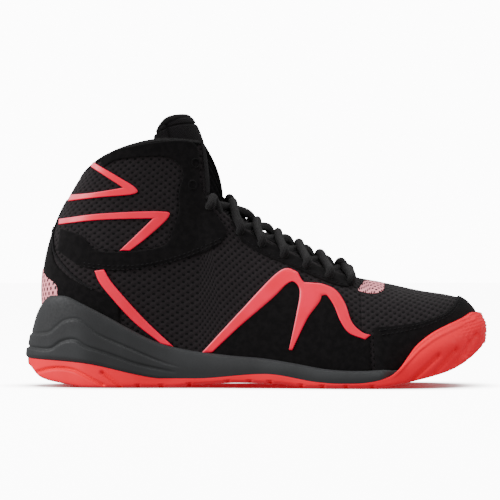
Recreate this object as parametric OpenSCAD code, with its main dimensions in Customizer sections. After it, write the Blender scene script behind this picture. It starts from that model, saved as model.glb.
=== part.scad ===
// Mid-height court shoe: a rubber cup outsole, a moulded midsole, a mesh upper with suede
// overlays and bonded film trim, a padded collar, a lifting insole and a tongue whose free
// upper part swings forward. Toe towards +X, the outer (lateral) side towards -Y, +Z up.

/* [Size] */
// Length of the shoe over the sole
shoe_length = 298; // [250:1:330]
// Greatest width of the sole
shoe_width = 102; // [90:1:115]
// Height of the collar's highest point above the ground
collar_height = 159; // [130:1:170]

/* [Upper] */
// Thickness of the mesh with its backing
mesh_thick = 1.5; // [1:0.1:2]
// Thickness of the suede overlays
suede_thick = 0.8; // [0.6:0.1:1]
// Thickness of the bonded film strips
film_thick = 0.5; // [0.4:0.1:0.7]
// Clearance left between stacked layers
layer_gap = 0.45; // [0.4:0.05:0.5]
// Thickness of the collar foam at its fullest
foam_thick = 5.5; // [3:0.5:6.5]
// How far the inner flap reaches forward of the outer one
flap_lead = 11; // [0:1:12]

/* [Sole] */
// Thickness of the outsole's floor
outsole_floor = 2.2; // [1.8:0.1:2.4]
// Thickness of the outsole's wall
outsole_wall = 2.6; // [2:0.1:3]
// Thickness of the midsole's wall around the upper
cup_wall = 2.6; // [1.8:0.1:3]
// Thickness of the removable insole
insole_thick = 4; // [3:0.5:5]

/* [Tongue] */
// Thickness of the padded tongue
tongue_thick = 6; // [4:0.5:7]
// Half the width of the tongue
tongue_half = 20; // [17:0.5:20.5]

/* [Lace] */
// Diameter of the round lace
lace_d = 5; // [4:0.1:5]
// Number of crossings over the tongue
lace_rows = 6; // [4:1:6]
// Diameter of the tipped lace ends
aglet_d = 3; // [2.6:0.1:3.2]

/* [Hidden] */
LATERAL = -1;
MEDIAL = 1;

// The shape lists below are drawn for this size, and these factors grade them.
grade_x = shoe_length / 298;
grade_y = shoe_width / 102;
grade_z = collar_height / 159;

// Feather line, where the upper meets the sole: heel, inner side, toe, outer side.
inner_line = [
    [-131, 0, 21], [-125.5, 17, 21], [-110, 27.5, 20.5], [-86, 29.5, 19.5], [-55, 27.5, 18],
    [-20, 27, 15.5], [18, 32.5, 11.6], [55, 41, 8.6], [88, 43.5, 9.6], [117, 37.5, 15.5],
    [134, 23, 22], [140, 3, 26.5]
];
outer_y = [0, -17, -28, -31, -30.5, -32.5, -38, -44.5, -44, -35.5, -18, 3];
half_count = len(inner_line) - 1;
feather = [
    for (p = inner_line) [p.x * grade_x, p.y * grade_y, p.z * grade_z],
    for (k = [half_count - 1 : -1 : 1])
        [inner_line[k].x * grade_x, outer_y[k] * grade_y, inner_line[k].z * grade_z]
];

// Stations along the top edge of the upper, as shares of the way from heel to toe.
flap_top = 0.41;
flap_foot = 0.455;
throat_end = 0.668;
collar_back = -112;
flap_x = -35;
throat_x = 66;
collar_z = [136, 140.5, 148.2, 155, 159, 157.5];
flap_foot_z = 122;
flap_y = 18.6;
throat_y = [21.5, 18, 16.5, 15, 11.5, 0];
throat_z = [122, 105.5, 94, 84.5, 75.5, 69.3];
ridge = [[66, 69.3], [85, 65.6], [105, 61.2], [122, 58.6], [133, 55.5], [139.5, 49.5]];

// Side profiles of the sole as [x, z].
ground_line = [
    [-146, 12.2], [-139, 5.8], [-125, 2.3], [-106, 0], [-55, 0], [-38, 1.6], [-12, 3],
    [14, 2.4], [36, 0], [76, 0], [96, 3.7], [112, 7.5], [126, 12.3], [137, 18.8], [147, 27]
];
sole_edge_line = [
    [-148, 17.8], [-118, 16], [-104, 14.3], [-76, 8], [-61, 5.8], [-40, 5.8], [5, 8.8],
    [37, 4], [53, 3], [69, 3.6], [83, 6.9], [89, 11.2], [96, 18.8], [105, 27.4], [116, 34.4],
    [128, 39.7], [138, 43.8], [144, 47]
];
cup_edge_line = [
    [-139.5, 45], [-135, 53], [-129.5, 57.6], [-120, 57.2], [-111, 53], [-97, 45.9], [-69, 31.2],
    [-54, 25.6], [-26, 20.2], [0, 18.1], [22, 14.9], [41, 11.6], [61, 10.4], [76, 10.9], [92, 12.5]
];

function mix(a, b, t) = a * (1 - t) + b * t;
function limit(x, low, high) = min(max(x, low), high);
function ease(x, low, high) = let (t = limit((x - low) / (high - low), 0, 1)) t * t * (3 - 2 * t);
function unit(v) = v / norm(v);
function flat(lists) = [for (list = lists) for (item = list) item];
function reversed(list) = [for (i = [len(list) - 1 : -1 : 0]) list[i]];

// Catmull-Rom curve through four neighbours.
function curve(a, b, c, d, t) =
    b + (c - a) * t / 2 + (2 * a - 5 * b + 4 * c - d) * t * t / 2
    + (3 * b - a - 3 * c + d) * t * t * t / 2;

// A point on a closed curve; u counts list items.
function on_loop(list, u) =
    let (n = len(list), i = floor(u), t = u - i)
    curve(list[(i + n - 1) % n], list[(i + n) % n], list[(i + n + 1) % n], list[(i + n + 2) % n], t);

// A point on an open curve; share runs from 0 to 1.
function on_line(list, share) =
    let (last = len(list) - 1, u = limit(share, 0, 1) * last, i = min(floor(u), last - 1),
         b = list[i], c = list[i + 1],
         a = i == 0 ? 2 * b - c : list[i - 1],
         d = i == last - 1 ? 2 * c - b : list[i + 2])
    curve(a, b, c, d, u - i);

// Slope of a profile at b, level where it turns or runs flat.
function slope(a, b, c) =
    (b[1] - a[1]) * (c[1] - b[1]) <= 0 ? 0 : (c[1] - a[1]) / (c.x - a.x);

// Smooth height of a profile [[x, z], ...] at x.
function height(line, x, i = 0) =
    i < len(line) - 2 && x > line[i + 1].x * grade_x ? height(line, x, i + 1) :
    let (b = line[i], c = line[i + 1],
         a = i == 0 ? 2 * b - c : line[i - 1],
         d = i == len(line) - 2 ? 2 * c - b : line[i + 2],
         span = c.x - b.x,
         t = limit((x / grade_x - b.x) / span, 0, 1),
         slope_b = slope(a, b, c) * span,
         slope_c = slope(b, c, d) * span)
    grade_z * (b[1] * (2 * t * t * t - 3 * t * t + 1) + slope_b * (t * t * t - 2 * t * t + t)
    + c[1] * (3 * t * t - 2 * t * t * t) + slope_c * (t * t * t - t * t));

// a runs from -1 (toe) by way of the outer side to 0 (heel), then by the inner side to 1 (toe).
function feather_at(a) = on_loop(feather, half_count * (a < 0 ? a + 2 : a));

function top_at(a) =
    let (s = abs(a), side = a < 0 ? LATERAL : MEDIAL, lead = a > 0 ? flap_lead : 0,
         p = s <= flap_top ?
             let (f = s / flap_top)
             [collar_back + (flap_x - collar_back) * (1 - cos(90 * f)),
              side * 31 * sin(143.2 * f), on_line(collar_z, f)]
         : s <= flap_foot ?
             let (f = (s - flap_top) / (flap_foot - flap_top))
             [flap_x + 2 * f + lead * (1 - pow(1 - f, 2)), side * mix(flap_y, throat_y[0], f),
              mix(collar_z[5], flap_foot_z, f)]
         : s <= throat_end ?
             let (f = (s - flap_foot) / (throat_end - flap_foot))
             [mix(flap_x + 2 + lead, throat_x, f), f + side * on_line(throat_y, f),
              on_line(throat_z, f)]
         : let (f = (s - throat_end) / (1 - throat_end), r = on_line(ridge, f))
             [r.x, mix(1, 3, f), r[1]])
    [p.x * grade_x, p.y * grade_y, p.z * grade_z];

// The upper's outer surface; t runs from 0 at the sole to 1 at the top edge.
function surface_at(a, t) =
    let (s = abs(a), b = feather_at(a), top = top_at(a), v = sin(90 * limit(t, 0, 1)),
         power = 1 + 1.3 * ease(s, 0.4, 0.62),
         arch = pow(max(1 - pow(v, power), 0), 1 / power),
         heel = 1 - ease(s, 0, 0.42),
         toe = ease(s, 0.8, 1),
         belly = 2.2 * sin(360 * v) * ease(0.42 - s, 0, 0.3) * b.y / 30)
    [mix(b.x, top.x, v) + (14 * toe - 60 * heel) * v * (1 - v) * grade_x,
     top.y + (b.y - top.y) * arch + belly,
     mix(b.z, top.z, v)];

function wrap(a) = a > 1 ? a - 2 : a < -1 ? a + 2 : a;
function normal_at(a, t) =
    let (d = 0.008, low = max(t - d, 0), high = min(t + d, 1), below = min(t, 0.97))
    unit(cross(surface_at(a, high) - surface_at(a, low),
               surface_at(wrap(a + d), below) - surface_at(wrap(a - d), below)));
function lifted(a, t, lift) = surface_at(a, t) + lift * normal_at(a, t);

// The share t at which the surface passes a height.
function share_at(a, z) =
    let (b = feather_at(a).z, top = top_at(a).z) asin(limit((z - b) / (top - b), 0, 1)) / 90;

// Finds [a, t] on one side from the side view's x and z.
function find(side, x, z, low = 0, high = 1, steps = 16) =
    let (s = (low + high) / 2, t = share_at(side * s, z))
    steps == 0 ? [side * s, t] :
    surface_at(side * s, t).x < x ? find(side, x, z, s, high, steps - 1)
    : find(side, x, z, low, s, steps - 1);

function quad(a, b, c, d) = [[a, b, c], [a, c, d]];

// A closed sheet between two grids of points.
module sheet(outer, inner) {
    rows = len(outer);
    cols = len(outer[0]);
    n = rows * cols;
    faces = flat([
        for (i = [0 : rows - 2], j = [0 : cols - 2])
            let (k = i * cols + j)
            concat(quad(k, k + cols, k + cols + 1, k + 1),
                   quad(n + k, n + k + 1, n + k + cols + 1, n + k + cols)),
        for (i = [0 : rows - 2])
            let (k = i * cols, m = k + cols - 1)
            concat(quad(k, n + k, n + k + cols, k + cols),
                   quad(m, m + cols, n + m + cols, n + m)),
        for (j = [0 : cols - 2])
            let (k = j, m = n - cols + j)
            concat(quad(k, k + 1, n + k + 1, n + k),
                   quad(m, n + m, n + m + 1, m + 1))
    ]);
    polyhedron(concat(flat(outer), flat(inner)), faces);
}

// One layer of the upper over a grid of [a, t], from lift to lift + thick.
module layer(grid, lift, thick) {
    sheet([for (row = grid) [for (p = row) lifted(p.x, p.y, lift + thick)]],
          [for (row = grid) [for (p = row) lifted(p.x, p.y, lift)]]);
}

// How far the inner side's layers shift forward to follow its leading flap, at x and z.
function lead_at(x, z) =
    let (f = limit((collar_z[5] - z) / (collar_z[5] - flap_foot_z), 0, 1),
         share = x < flap_x ? ease(x, flap_x - 40, flap_x) : (throat_x - x) / (throat_x - flap_x))
    flap_lead * max(share, 0) * (1 - pow(1 - f, 2));

// Where a point drawn in the side view lies on one side of the upper.
function place(side, x, z) =
    find(side, (x + (side == MEDIAL ? lead_at(x, z) : 0)) * grade_x, z * grade_z);

// An overlay between two edges drawn in the side view as [x, z].
module overlay(side, edge_a, edge_b, lift, thick, along, across) {
    grid = [
        for (i = [0 : along])
            let (p = on_line(edge_a, i / along), q = on_line(edge_b, i / along))
            [for (j = [0 : across])
                let (m = mix(p, q, j / across)) place(side, m.x, m.y)]
    ];
    first = surface_at(grid[0][0].x, grid[0][0].y);
    way = cross(surface_at(grid[0][across].x, grid[0][across].y) - first,
                surface_at(grid[1][0].x, grid[1][0].y) - first);
    outward = way * normal_at(grid[0][0].x, grid[0][0].y) > 0;
    layer(outward ? grid : reversed(grid), lift, thick);
}

// A stack of closed rings of points, each running heel, inner side, toe, outer side.
module loft(rings) {
    n = len(rings[0]);
    top = (len(rings) - 1) * n;
    faces = flat([
        for (r = [0 : len(rings) - 2], k = [0 : n - 1])
            let (m = (k + 1) % n)
            quad(r * n + k, (r + 1) * n + k, (r + 1) * n + m, r * n + m),
        for (k = [0 : n / 2 - 1])
            let (far = (n - k) % n, near = n - k - 1)
            k == 0 ? [[0, 1, n - 1], [top, top + n - 1, top + 1]] :
            k == n / 2 - 1 ? [[k, k + 1, far], [top + k, top + far, top + k + 1]] :
            concat(quad(k, k + 1, near, far), quad(top + k, top + far, top + near, top + k + 1))
    ]);
    polyhedron(flat(rings), faces);
}

ring_count = 72;
ring_shares = [for (k = [0 : ring_count - 1]) let (a = 2 * k / ring_count) a > 1 ? a - 2 : a];

// Plan outline of the sole, moved in by inset, at the height given by rise(x, a).
function sole_out(a) =
    let (s = abs(a))
    6 + 11 * (s < 0.16 ? pow(cos(90 * s / 0.16), 2) : 0) + 2.5 * ease(s, 0.8, 1);
function plan_at(a, out) =
    let (d = 0.01, way = feather_at(wrap(a + d)) - feather_at(wrap(a - d)),
         side = unit([-way.y, way.x]), p = feather_at(a))
    [p.x + side.x * out, p.y + side.y * out];
function sole_point(a, inset) = plan_at(a, sole_out(a) - inset);

function ground(x) = height(ground_line, x);
function sole_edge(x) = max(height(sole_edge_line, x), ground(x) + outsole_floor + 0.5);
// The midsole's side shows from the heel to the ball, then drops into the outsole.
function in_cup(x) = 1 - ease(x / grade_x, 78, 85);
function on_edge(x) = 1 - ease(x / grade_x, 86, 92);
cup_gap = 2 * layer_gap + suede_thick + film_thick + 0.3;
toe_gap = layer_gap + suede_thick + 0.75;
toe_wall = 2.3;

function ring(inset, z) = [
    for (a = ring_shares) let (p = sole_point(a, inset)) [p.x, p.y, z(p.x)]
];

// A ring at height z(a), which leaves the plan outline for the upper's own surface at the toe.
function toe_ring(inset, lift, z) = [
    for (a = ring_shares)
        let (p = sole_point(a, inset), q = lifted(a, share_at(a, z(p.x)), lift),
             k = ease(p.x / grade_x, 86, 104))
        [mix(p.x, q.x, k), mix(p.y, q.y, k), z(p.x)]
];

module outsole() {
    inner = function (w) toe_ring(outsole_wall + 0.4 * (1 - w), toe_gap,
        function (x) mix(ground(x) + outsole_floor, sole_edge(x), w));
    color([0.91, 0.25, 0.23])
    loft([
        ring(2.5, function (x) ground(x)),
        ring(0.4, function (x) ground(x) + 1.6),
        ring(0, function (x) mix(ground(x) + 1.6, sole_edge(x), 0.6)),
        toe_ring(0, toe_gap + toe_wall, function (x) sole_edge(x)),
        inner(1), inner(0.75), inner(0.5), inner(0.25),
        ring(outsole_wall + 0.6, function (x) ground(x) + outsole_floor)
    ]);
}

module midsole() {
    tray = outsole_wall + 1;
    foot = function (share, rise, lip) [
        for (a = ring_shares)
            let (x = sole_point(a, 0).x,
                 p = sole_point(a, tray * (1 - share * in_cup(x)) + 1 - on_edge(x)),
                 low = ground(p.x) + outsole_floor)
            [p.x, p.y, mix(low + rise, sole_edge(p.x) + lip, on_edge(p.x))]
    ];
    color([0.27, 0.27, 0.28])
    loft([
        ring(tray + 1.6, function (x) ground(x) + outsole_floor + 0.15),
        foot(0, 0.6, 0.2),
        foot(1, 0.9, 0.25),
        cup_ring(cup_gap + cup_wall + 0.3, 2.4, -0.3),
        cup_ring(cup_gap, 2, -0.3),
        cup_ring(undef, 1.6, -0.6)
    ]);
}

// The share up the upper's surface at which the midsole's rim stands.
function rim_share(a) = share_at(a, height(cup_edge_line, surface_at(a, 0.25).x));

// A ring of the midsole's rim, standing off the upper by lift, or off the feather line at the toe.
// With no lift it is the ring below, where the upper's foot stands.
function cup_ring(lift, toe_out, toe_rise) = [
    for (a = ring_shares)
        let (f = feather_at(a), k = in_cup(f.x),
             toe = plan_at(a, toe_out), base = plan_at(a, cup_gap),
             p = is_undef(lift) ? [base.x, base.y, f.z - 0.4]
                                : lifted(a, rim_share(a), lift))
        mix([toe.x, toe.y, f.z + toe_rise], p, k)
];

module strobel_board() {
    color([0.85, 0.83, 0.78])
    loft([
        for (rise = [-0.25, 0.85])
            [for (a = ring_shares)
                let (q = plan_at(a, -mesh_thick - 0.8)) [q.x, q.y, feather_at(a).z + rise]]
    ]);
}

module insole() {
    color([0.2, 0.2, 0.21])
    loft([
        for (step = [[5, 1.15], [3.6, 1.8], [3.6, insole_thick + 0.4], [5, insole_thick + 1.1]])
            [for (a = ring_shares)
                let (heel_room = 1.8 * (1 - ease(abs(a), 0.2, 0.45)),
                     q = plan_at(a, -mesh_thick - step.x - heel_room))
                [q.x, q.y, feather_at(a).z + step.y]]
    ]);
}

// Values of a from one share to another, in equal steps.
function steps(from, to, count) = [for (i = [0 : count]) mix(from, to, i / count)];
function block(shares, low, high, count) =
    [for (a = shares) steps_row(a, low, high, count)];
function steps_row(a, low, high, count) = [for (t = steps(low, high, count)) [a, t]];

module heel_counter() {
    shares = steps(-0.3, 0.3, 20);
    grid = [for (a = shares) steps_row(a, 0.03, mix(0.3, 0.12, pow(a / 0.3, 2)), 5)];
    color([0.8, 0.78, 0.7])
    layer(grid, -mesh_thick - 1.4, 1);
}

module toe_puff() {
    color([0.8, 0.78, 0.7])
    toe_sheet(0.9, 0.08, -mesh_thick - 1.2, 0.8);
}

// A sheet over the toe from share start, its lateral and inner halves joined over the ridge.
module toe_sheet(start, low, lift, thick) {
    halves = steps(low, 1, 9);
    columns = steps(start, 0.988, 10);
    grid = [
        for (s = columns)
            concat([for (t = halves) [-s, t]], [for (i = [len(halves) - 2 : -1 : 0]) [s, halves[i]]])
    ];
    layer(reversed(grid), lift, thick);
}

quarter_shares = concat(steps(0.002, flap_top, 13), steps(flap_top + 0.015, flap_foot, 2),
                        steps(flap_foot + 0.02, throat_end - 0.003, 9));
module quarter(side) {
    ordered = side == MEDIAL ? quarter_shares : reversed(-quarter_shares);
    color([0.13, 0.11, 0.12])
    layer(block(ordered, 0, 1, 11), -mesh_thick, mesh_thick);
}

module vamp() {
    color([0.13, 0.11, 0.12])
    toe_sheet(throat_end + 0.003, 0, -mesh_thick, mesh_thick);
}

// The toe cap's columns climb the toe, then turn back along it to the seam.
cap_seam = [[0.69, 0.33], [0.742, 0.357], [0.791, 0.4], [0.853, 0.514], [0.9, 0.78], [0.91, 1]];
function cap_point(side, c, r) =
    let (seam = on_line(cap_seam, c), s = mix(cap_seam[0].x, 1, pow(c, 0.8)),
         bend = mix(1, 0.6, min(4 * c, 1)))
    r < bend ? [side * s, mix(0.02, seam.y, r / bend)]
    : [side * mix(s, seam.x, bend < 1 ? (r - bend) / (1 - bend) : 0), seam.y];
module toe_cap() {
    columns = steps(0, 1, 13);
    climb = steps(0, 1, 11);
    grid = concat(
        [for (c = columns) [for (r = climb) cap_point(MEDIAL, c, r)]],
        [for (c = reversed(columns)) if (c < 1) [for (r = climb) cap_point(LATERAL, c, r)]]
    );
    color([0.05, 0.04, 0.05])
    layer(grid, layer_gap, suede_thick);
}

module mudguard(side) {
    color([0.05, 0.04, 0.05])
    overlay(side,
        [[-30, 17], [-8, 15], [15, 13], [38, 10.5], [56, 10], [72, 11.5]],
        [[-30, 22], [-10, 42], [8, 59], [23, 67.5], [36, 61.5], [45, 59.5], [52, 48], [60, 38],
         [71.5, 34]],
        layer_gap, suede_thick, 20, 6);
}

module heel_overlay() {
    edge = 0.27;
    rise = [121, 97, 81, 72.5, 66, 61, 57.5];
    grid = [
        for (a = steps(-edge, edge, 24))
            steps_row(a, 0.12, share_at(a, on_line(rise, abs(a) / edge) * grade_z), 8)
    ];
    color([0.06, 0.05, 0.06])
    layer(grid, layer_gap, suede_thick);
}

module ankle_overlay(side) {
    color([0.05, 0.04, 0.05])
    overlay(side,
        [[-100, 144.5], [-88, 151.5], [-62, 156.5], [-42, 156.5], [-37, 146], [-36, 128],
         [-27, 111], [-19.5, 99], [-28, 88.5], [-50, 81], [-82, 75], [-102, 75], [-114, 78],
         [-127.5, 87]],
        [[-98, 140.5], [-87, 145.5], [-60, 147], [-50, 142], [-47.5, 135], [-50, 124],
         [-50, 112], [-54, 100], [-58, 91], [-72, 87.3], [-92, 86], [-104, 88], [-112, 96.5],
         [-126, 101]],
        layer_gap, suede_thick, 38, 6);
}

module eyestay(side) {
    color([0.05, 0.04, 0.05])
    overlay(side,
        [[-17, 106], [0, 95.5], [20, 85.5], [40, 76.5], [52, 72], [59, 69.8]],
        [[-10, 92.5], [4, 84], [20, 77.5], [38, 69.5], [50, 65], [58.5, 63.4]],
        layer_gap, suede_thick, 12, 3);
}

module film(side, edge_a, edge_b, along, across = 2) {
    color([1, 0.25, 0.35])
    overlay(side, edge_a, edge_b, 2 * layer_gap + suede_thick, film_thick, along, across);
}

module chevron_upper(side) {
    film(side,
        [[-104.5, 143.5], [-90, 135], [-77.5, 127], [-79, 123], [-100, 121], [-121, 118.5]],
        [[-106, 140.5], [-96, 134], [-86, 127.5], [-86, 127], [-104, 124], [-119.5, 122.5]], 16);
}

module chevron_lower(side) {
    film(side,
        [[-127, 107], [-100, 110.5], [-62, 112], [-56.5, 108.5], [-70, 95.5], [-81, 87]],
        [[-127, 103.5], [-100, 106.5], [-67, 107.5], [-67, 107], [-76, 98], [-87.5, 87]], 18);
}

module heel_strut(side) {
    film(side,
        [[-97.5, 75], [-91.5, 65.5], [-72, 43.5], [-53, 25.5]],
        [[-103.5, 74], [-98.5, 64], [-79.5, 42.5], [-61, 27.5]], 10);
}

// The rear two legs of the M: up, over the rounded top and down the middle.
module midfoot_strut(side) {
    film(side,
        [[-35.5, 21.5], [-11.5, 47.5], [13.5, 73.2], [24.5, 73.8], [29.5, 67], [41, 58], [32, 43.5],
         [22.5, 23.8]],
        [[-28.5, 22], [-11.5, 38], [10, 56.5], [18.5, 65], [23.5, 66.8], [27, 61], [25, 46.5],
         [20.3, 23.8]],
        21);
}

// The front leg of the M, which springs from the top of the middle one.
module toe_strut(side) {
    film(side,
        [[31.2, 67.8], [36, 66.7], [42, 65.3], [50, 61.5], [55.9, 53], [60.1, 41.5], [66.9, 35],
         [72, 33.5]],
        [[43, 59.2], [43.8, 58.8], [45.3, 57], [49, 51], [53, 41.5], [58.5, 34.5], [68.5, 30.5]], 15);
}

// Widest where it leaves the midsole's rim, and narrow at its top.
module heel_panel() {
    half_width = [0.118, 0.112, 0.07, 0.02];
    grid = [
        for (q = steps(-1, 1, 10))
            [for (k = steps(0, 1, 4))
                let (a = q * on_line(half_width, k)) [a, mix(rim_share(a) + 0.014, 0.31, k)]]
    ];
    color([1, 0.4, 0.5])
    layer(grid, 2 * layer_gap + suede_thick, film_thick);
}

module vamp_panel(side) {
    color([1, 0.4, 0.5])
    overlay(side, [[64.5, 62], [67, 65], [70, 67.5], [76, 67], [82, 65.8]],
        [[65, 61], [69, 60], [73.7, 59.4], [78, 60], [81, 61.5]],
        layer_gap, film_thick, 8, 4);
}

// Foam fills the collar above the ankle bones and thins towards its edges.
function foam_at(a, t) =
    let (z = surface_at(a, t).z / grade_z)
    foam_thick * ease(z, 84, 118) * (1 - 0.45 * ease(t, 0.93, 1))
    * (1 - 0.55 * ease(abs(a), 0.34, flap_foot));
collar_shares = steps(-0.37, 0.37, 28);

module collar_foam() {
    grid = [for (a = collar_shares) steps_row(a, mix(0.52, 0.62, abs(a) / flap_foot), 0.99, 7)];
    skin = mesh_thick + 0.35;
    color([0.75, 0.74, 0.7])
    sheet([for (row = grid) [for (p = row) lifted(p.x, p.y, -skin)]],
          [for (row = grid) [for (p = row) lifted(p.x, p.y, -skin - 0.3 - foam_at(p.x, p.y))]]);
}

module collar_lining() {
    grid = [for (a = collar_shares) steps_row(a, 0.05, 0.992, 11)];
    back = mesh_thick + 1.75;
    color([0.16, 0.15, 0.16])
    sheet([for (row = grid) [for (p = row) lifted(p.x, p.y, -back - foam_at(p.x, p.y))]],
          [for (row = grid) [for (p = row) lifted(p.x, p.y, -back - 0.8 - foam_at(p.x, p.y))]]);
}

// The tongue's centre line in the side view, from under the vamp to its free top edge.
tongue_line = [
    [68, 63], [54, 69], [38, 76], [20, 85], [2, 95], [-14, 104.5], [-24, 112], [-29.5, 121],
    [-31.5, 133], [-33, 146], [-35.5, 158], [-39.5, 168], [-43.5, 174.5]
];
tongue_depth = [8, 9, 9, 9, 9, 10, 13, 19, 27, 33, 36, 36, 34];
hinge_share = 7 / 12;
sweep_angle = 80;

function tongue_mid(u) = let (p = on_line(tongue_line, u)) [p.x * grade_x, p.y * grade_z];
function tongue_at(u, angle, inset) =
    let (p = tongue_mid(u), way = unit(tongue_mid(min(u + 0.01, 1)) - tongue_mid(max(u - 0.01, 0))),
         outward = unit(mix([way.y, -way.x], [1, 0], ease(u, 0.7, 0.9))),
         depth = on_line(tongue_depth, u) - inset,
         half = (tongue_half - inset) * mix(0.85, 1, ease(u, 0, 0.3)) - 5.6 * ease(u, 0.5, 0.64),
         droop = ease(u, 0.8, 1) * 13 * pow(abs(angle) / sweep_angle, 4),
         back = inset + depth * (1 - cos(angle)))
    [p.x - outward.x * back - way.x * droop, 1.2 * (1 - u) + half * sin(angle),
     p.y - outward.y * back - way.y * droop];

module tongue_piece(from, to, count) {
    shares = steps(from, to, count);
    angles = steps(-sweep_angle, sweep_angle, 14);
    sheet([for (u = shares) [for (g = angles) tongue_at(u, g, 0)]],
          [for (u = shares) [for (g = angles) tongue_at(u, g, tongue_thick)]]);
}

module tongue_body() {
    color([0.1, 0.09, 0.1])
    tongue_piece(0, hinge_share - 0.012, 14);
}

module tongue_flap() {
    color([0.12, 0.11, 0.12])
    tongue_piece(hinge_share, 0.985, 12);
}

module tongue_binding() {
    shares = [0.99, 1.0];
    angles = steps(-sweep_angle, sweep_angle, 14);
    color([0.05, 0.05, 0.05])
    sheet([for (u = shares) [for (g = angles) tongue_at(u, g, 0)]],
          [for (u = shares) [for (g = angles) tongue_at(u, g, tongue_thick)]]);
}

// Where the lace turns at one side of a row, and where it crosses the tongue.
lace_first = 0.06;
lace_last = 0.93;
function lace_row(k) = mix(lace_first, lace_last, k / lace_rows);
function lace_turn(side, k) =
    let (a = side * mix(flap_foot, throat_end, lace_row(k)), p = lifted(a, 0.955, 0))
    [p.x, p.y, p.z + lace_d / 2 + layer_gap + suede_thick + 0.5];
function lace_cross(k, over) =
    let (a = mix(flap_foot, throat_end, lace_row(k)), p = top_at(-a), q = top_at(a))
    [(p.x + q.x) / 2 + 1, 1, (p.z + q.z) / 2 + 4.2 + (over ? lace_d + 0.6 : 0)];
// Down the throat under the crossings, then back up over them.
down = [for (k = [0 : lace_rows - 1]) each
    [lace_turn(k % 2 == 0 ? MEDIAL : LATERAL, k), lace_cross(k + 0.5, false)]];
up = [for (k = [lace_rows : -1 : 1]) each
    [lace_turn(k % 2 == 0 ? LATERAL : MEDIAL, k), lace_cross(k - 0.5, true)]];
lace_path = concat(down, [lace_turn(lace_rows % 2 == 0 ? MEDIAL : LATERAL, lace_rows)],
                   up, [lace_turn(LATERAL, 0)]);

module tube(points, d, sides) {
    n = len(points);
    rings = [
        for (i = [0 : n - 1])
            let (way = unit(points[min(i + 1, n - 1)] - points[max(i - 1, 0)]),
                 across = unit(cross(way, [0.25, 0, 1])), rise = cross(across, way))
            [for (j = [0 : sides - 1])
                points[i] + d / 2 * (cos(360 * j / sides) * across + sin(360 * j / sides) * rise)]
    ];
    faces = concat(
        flat([for (i = [0 : n - 2], j = [0 : sides - 1])
            let (k = i * sides, m = (j + 1) % sides)
            quad(k + j, k + m, k + sides + m, k + sides + j)]),
        [for (j = [1 : sides - 2]) [0, j + 1, j]],
        [for (j = [1 : sides - 2]) let (e = (n - 1) * sides) [e, e + j, e + j + 1]]
    );
    polyhedron(flat(rings), faces);
}

module lace() {
    count = 3 * (len(lace_path) - 1);
    color([0.07, 0.06, 0.07])
    tube([for (i = [0 : count]) on_line(lace_path, i / count)], lace_d, 8);
}

// Both lace ends pass the top eyelets and lie tipped between the tongue and the upper.
module aglets() {
    color([0.1, 0.1, 0.1])
    for (side = [LATERAL, MEDIAL])
        tube([for (s = steps(0.475, 0.512, 3)) lifted(side * s, 0.94, -mesh_thick - aglet_d / 2 - 0.4)],
             aglet_d, 10);
}

outsole();
midsole();
strobel_board();
insole();
heel_counter();
toe_puff();
quarter(LATERAL);  // quarter_lateral
quarter(MEDIAL);  // quarter_medial
vamp();
toe_cap();
mudguard(LATERAL);  // mudguard_lateral
mudguard(MEDIAL);  // mudguard_medial
heel_overlay();
ankle_overlay(LATERAL);  // ankle_overlay_lateral
ankle_overlay(MEDIAL);  // ankle_overlay_medial
eyestay(LATERAL);  // eyestay_lateral
eyestay(MEDIAL);  // eyestay_medial
chevron_upper(LATERAL);  // chevron_upper_lateral
chevron_upper(MEDIAL);  // chevron_upper_medial
chevron_lower(LATERAL);  // chevron_lower_lateral
chevron_lower(MEDIAL);  // chevron_lower_medial
heel_strut(LATERAL);  // heel_strut_lateral
heel_strut(MEDIAL);  // heel_strut_medial
midfoot_strut(LATERAL);  // midfoot_strut_lateral
midfoot_strut(MEDIAL);  // midfoot_strut_medial
toe_strut(LATERAL);  // toe_strut_lateral
toe_strut(MEDIAL);  // toe_strut_medial
heel_panel();
vamp_panel(LATERAL);  // vamp_panel_lateral
vamp_panel(MEDIAL);  // vamp_panel_medial
collar_foam();
collar_lining();
tongue_body();
tongue_flap();
tongue_binding();
lace();
aglets();
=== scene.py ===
import math

import bmesh
import bpy
import numpy as np
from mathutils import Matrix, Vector


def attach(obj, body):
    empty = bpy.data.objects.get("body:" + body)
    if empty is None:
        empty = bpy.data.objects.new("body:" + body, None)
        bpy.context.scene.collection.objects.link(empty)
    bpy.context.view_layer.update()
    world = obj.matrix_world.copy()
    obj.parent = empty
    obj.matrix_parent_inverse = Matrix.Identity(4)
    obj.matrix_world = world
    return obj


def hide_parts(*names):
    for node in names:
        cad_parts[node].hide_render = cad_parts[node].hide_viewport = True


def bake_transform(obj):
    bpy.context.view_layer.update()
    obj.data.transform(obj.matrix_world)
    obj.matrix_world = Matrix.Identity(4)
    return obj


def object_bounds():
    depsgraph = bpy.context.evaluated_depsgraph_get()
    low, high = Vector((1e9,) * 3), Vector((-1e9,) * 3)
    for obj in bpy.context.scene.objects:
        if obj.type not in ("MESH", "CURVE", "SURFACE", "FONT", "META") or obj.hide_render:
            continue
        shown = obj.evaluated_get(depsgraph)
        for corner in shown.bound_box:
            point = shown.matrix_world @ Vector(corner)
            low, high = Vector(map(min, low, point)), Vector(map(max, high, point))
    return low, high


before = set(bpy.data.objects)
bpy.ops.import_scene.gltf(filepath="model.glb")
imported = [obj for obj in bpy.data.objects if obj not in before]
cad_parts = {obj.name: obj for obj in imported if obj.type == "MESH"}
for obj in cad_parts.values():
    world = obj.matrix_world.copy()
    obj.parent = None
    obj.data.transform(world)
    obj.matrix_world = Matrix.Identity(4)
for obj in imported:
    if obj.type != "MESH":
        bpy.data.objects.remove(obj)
cad_low, cad_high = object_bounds()

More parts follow.
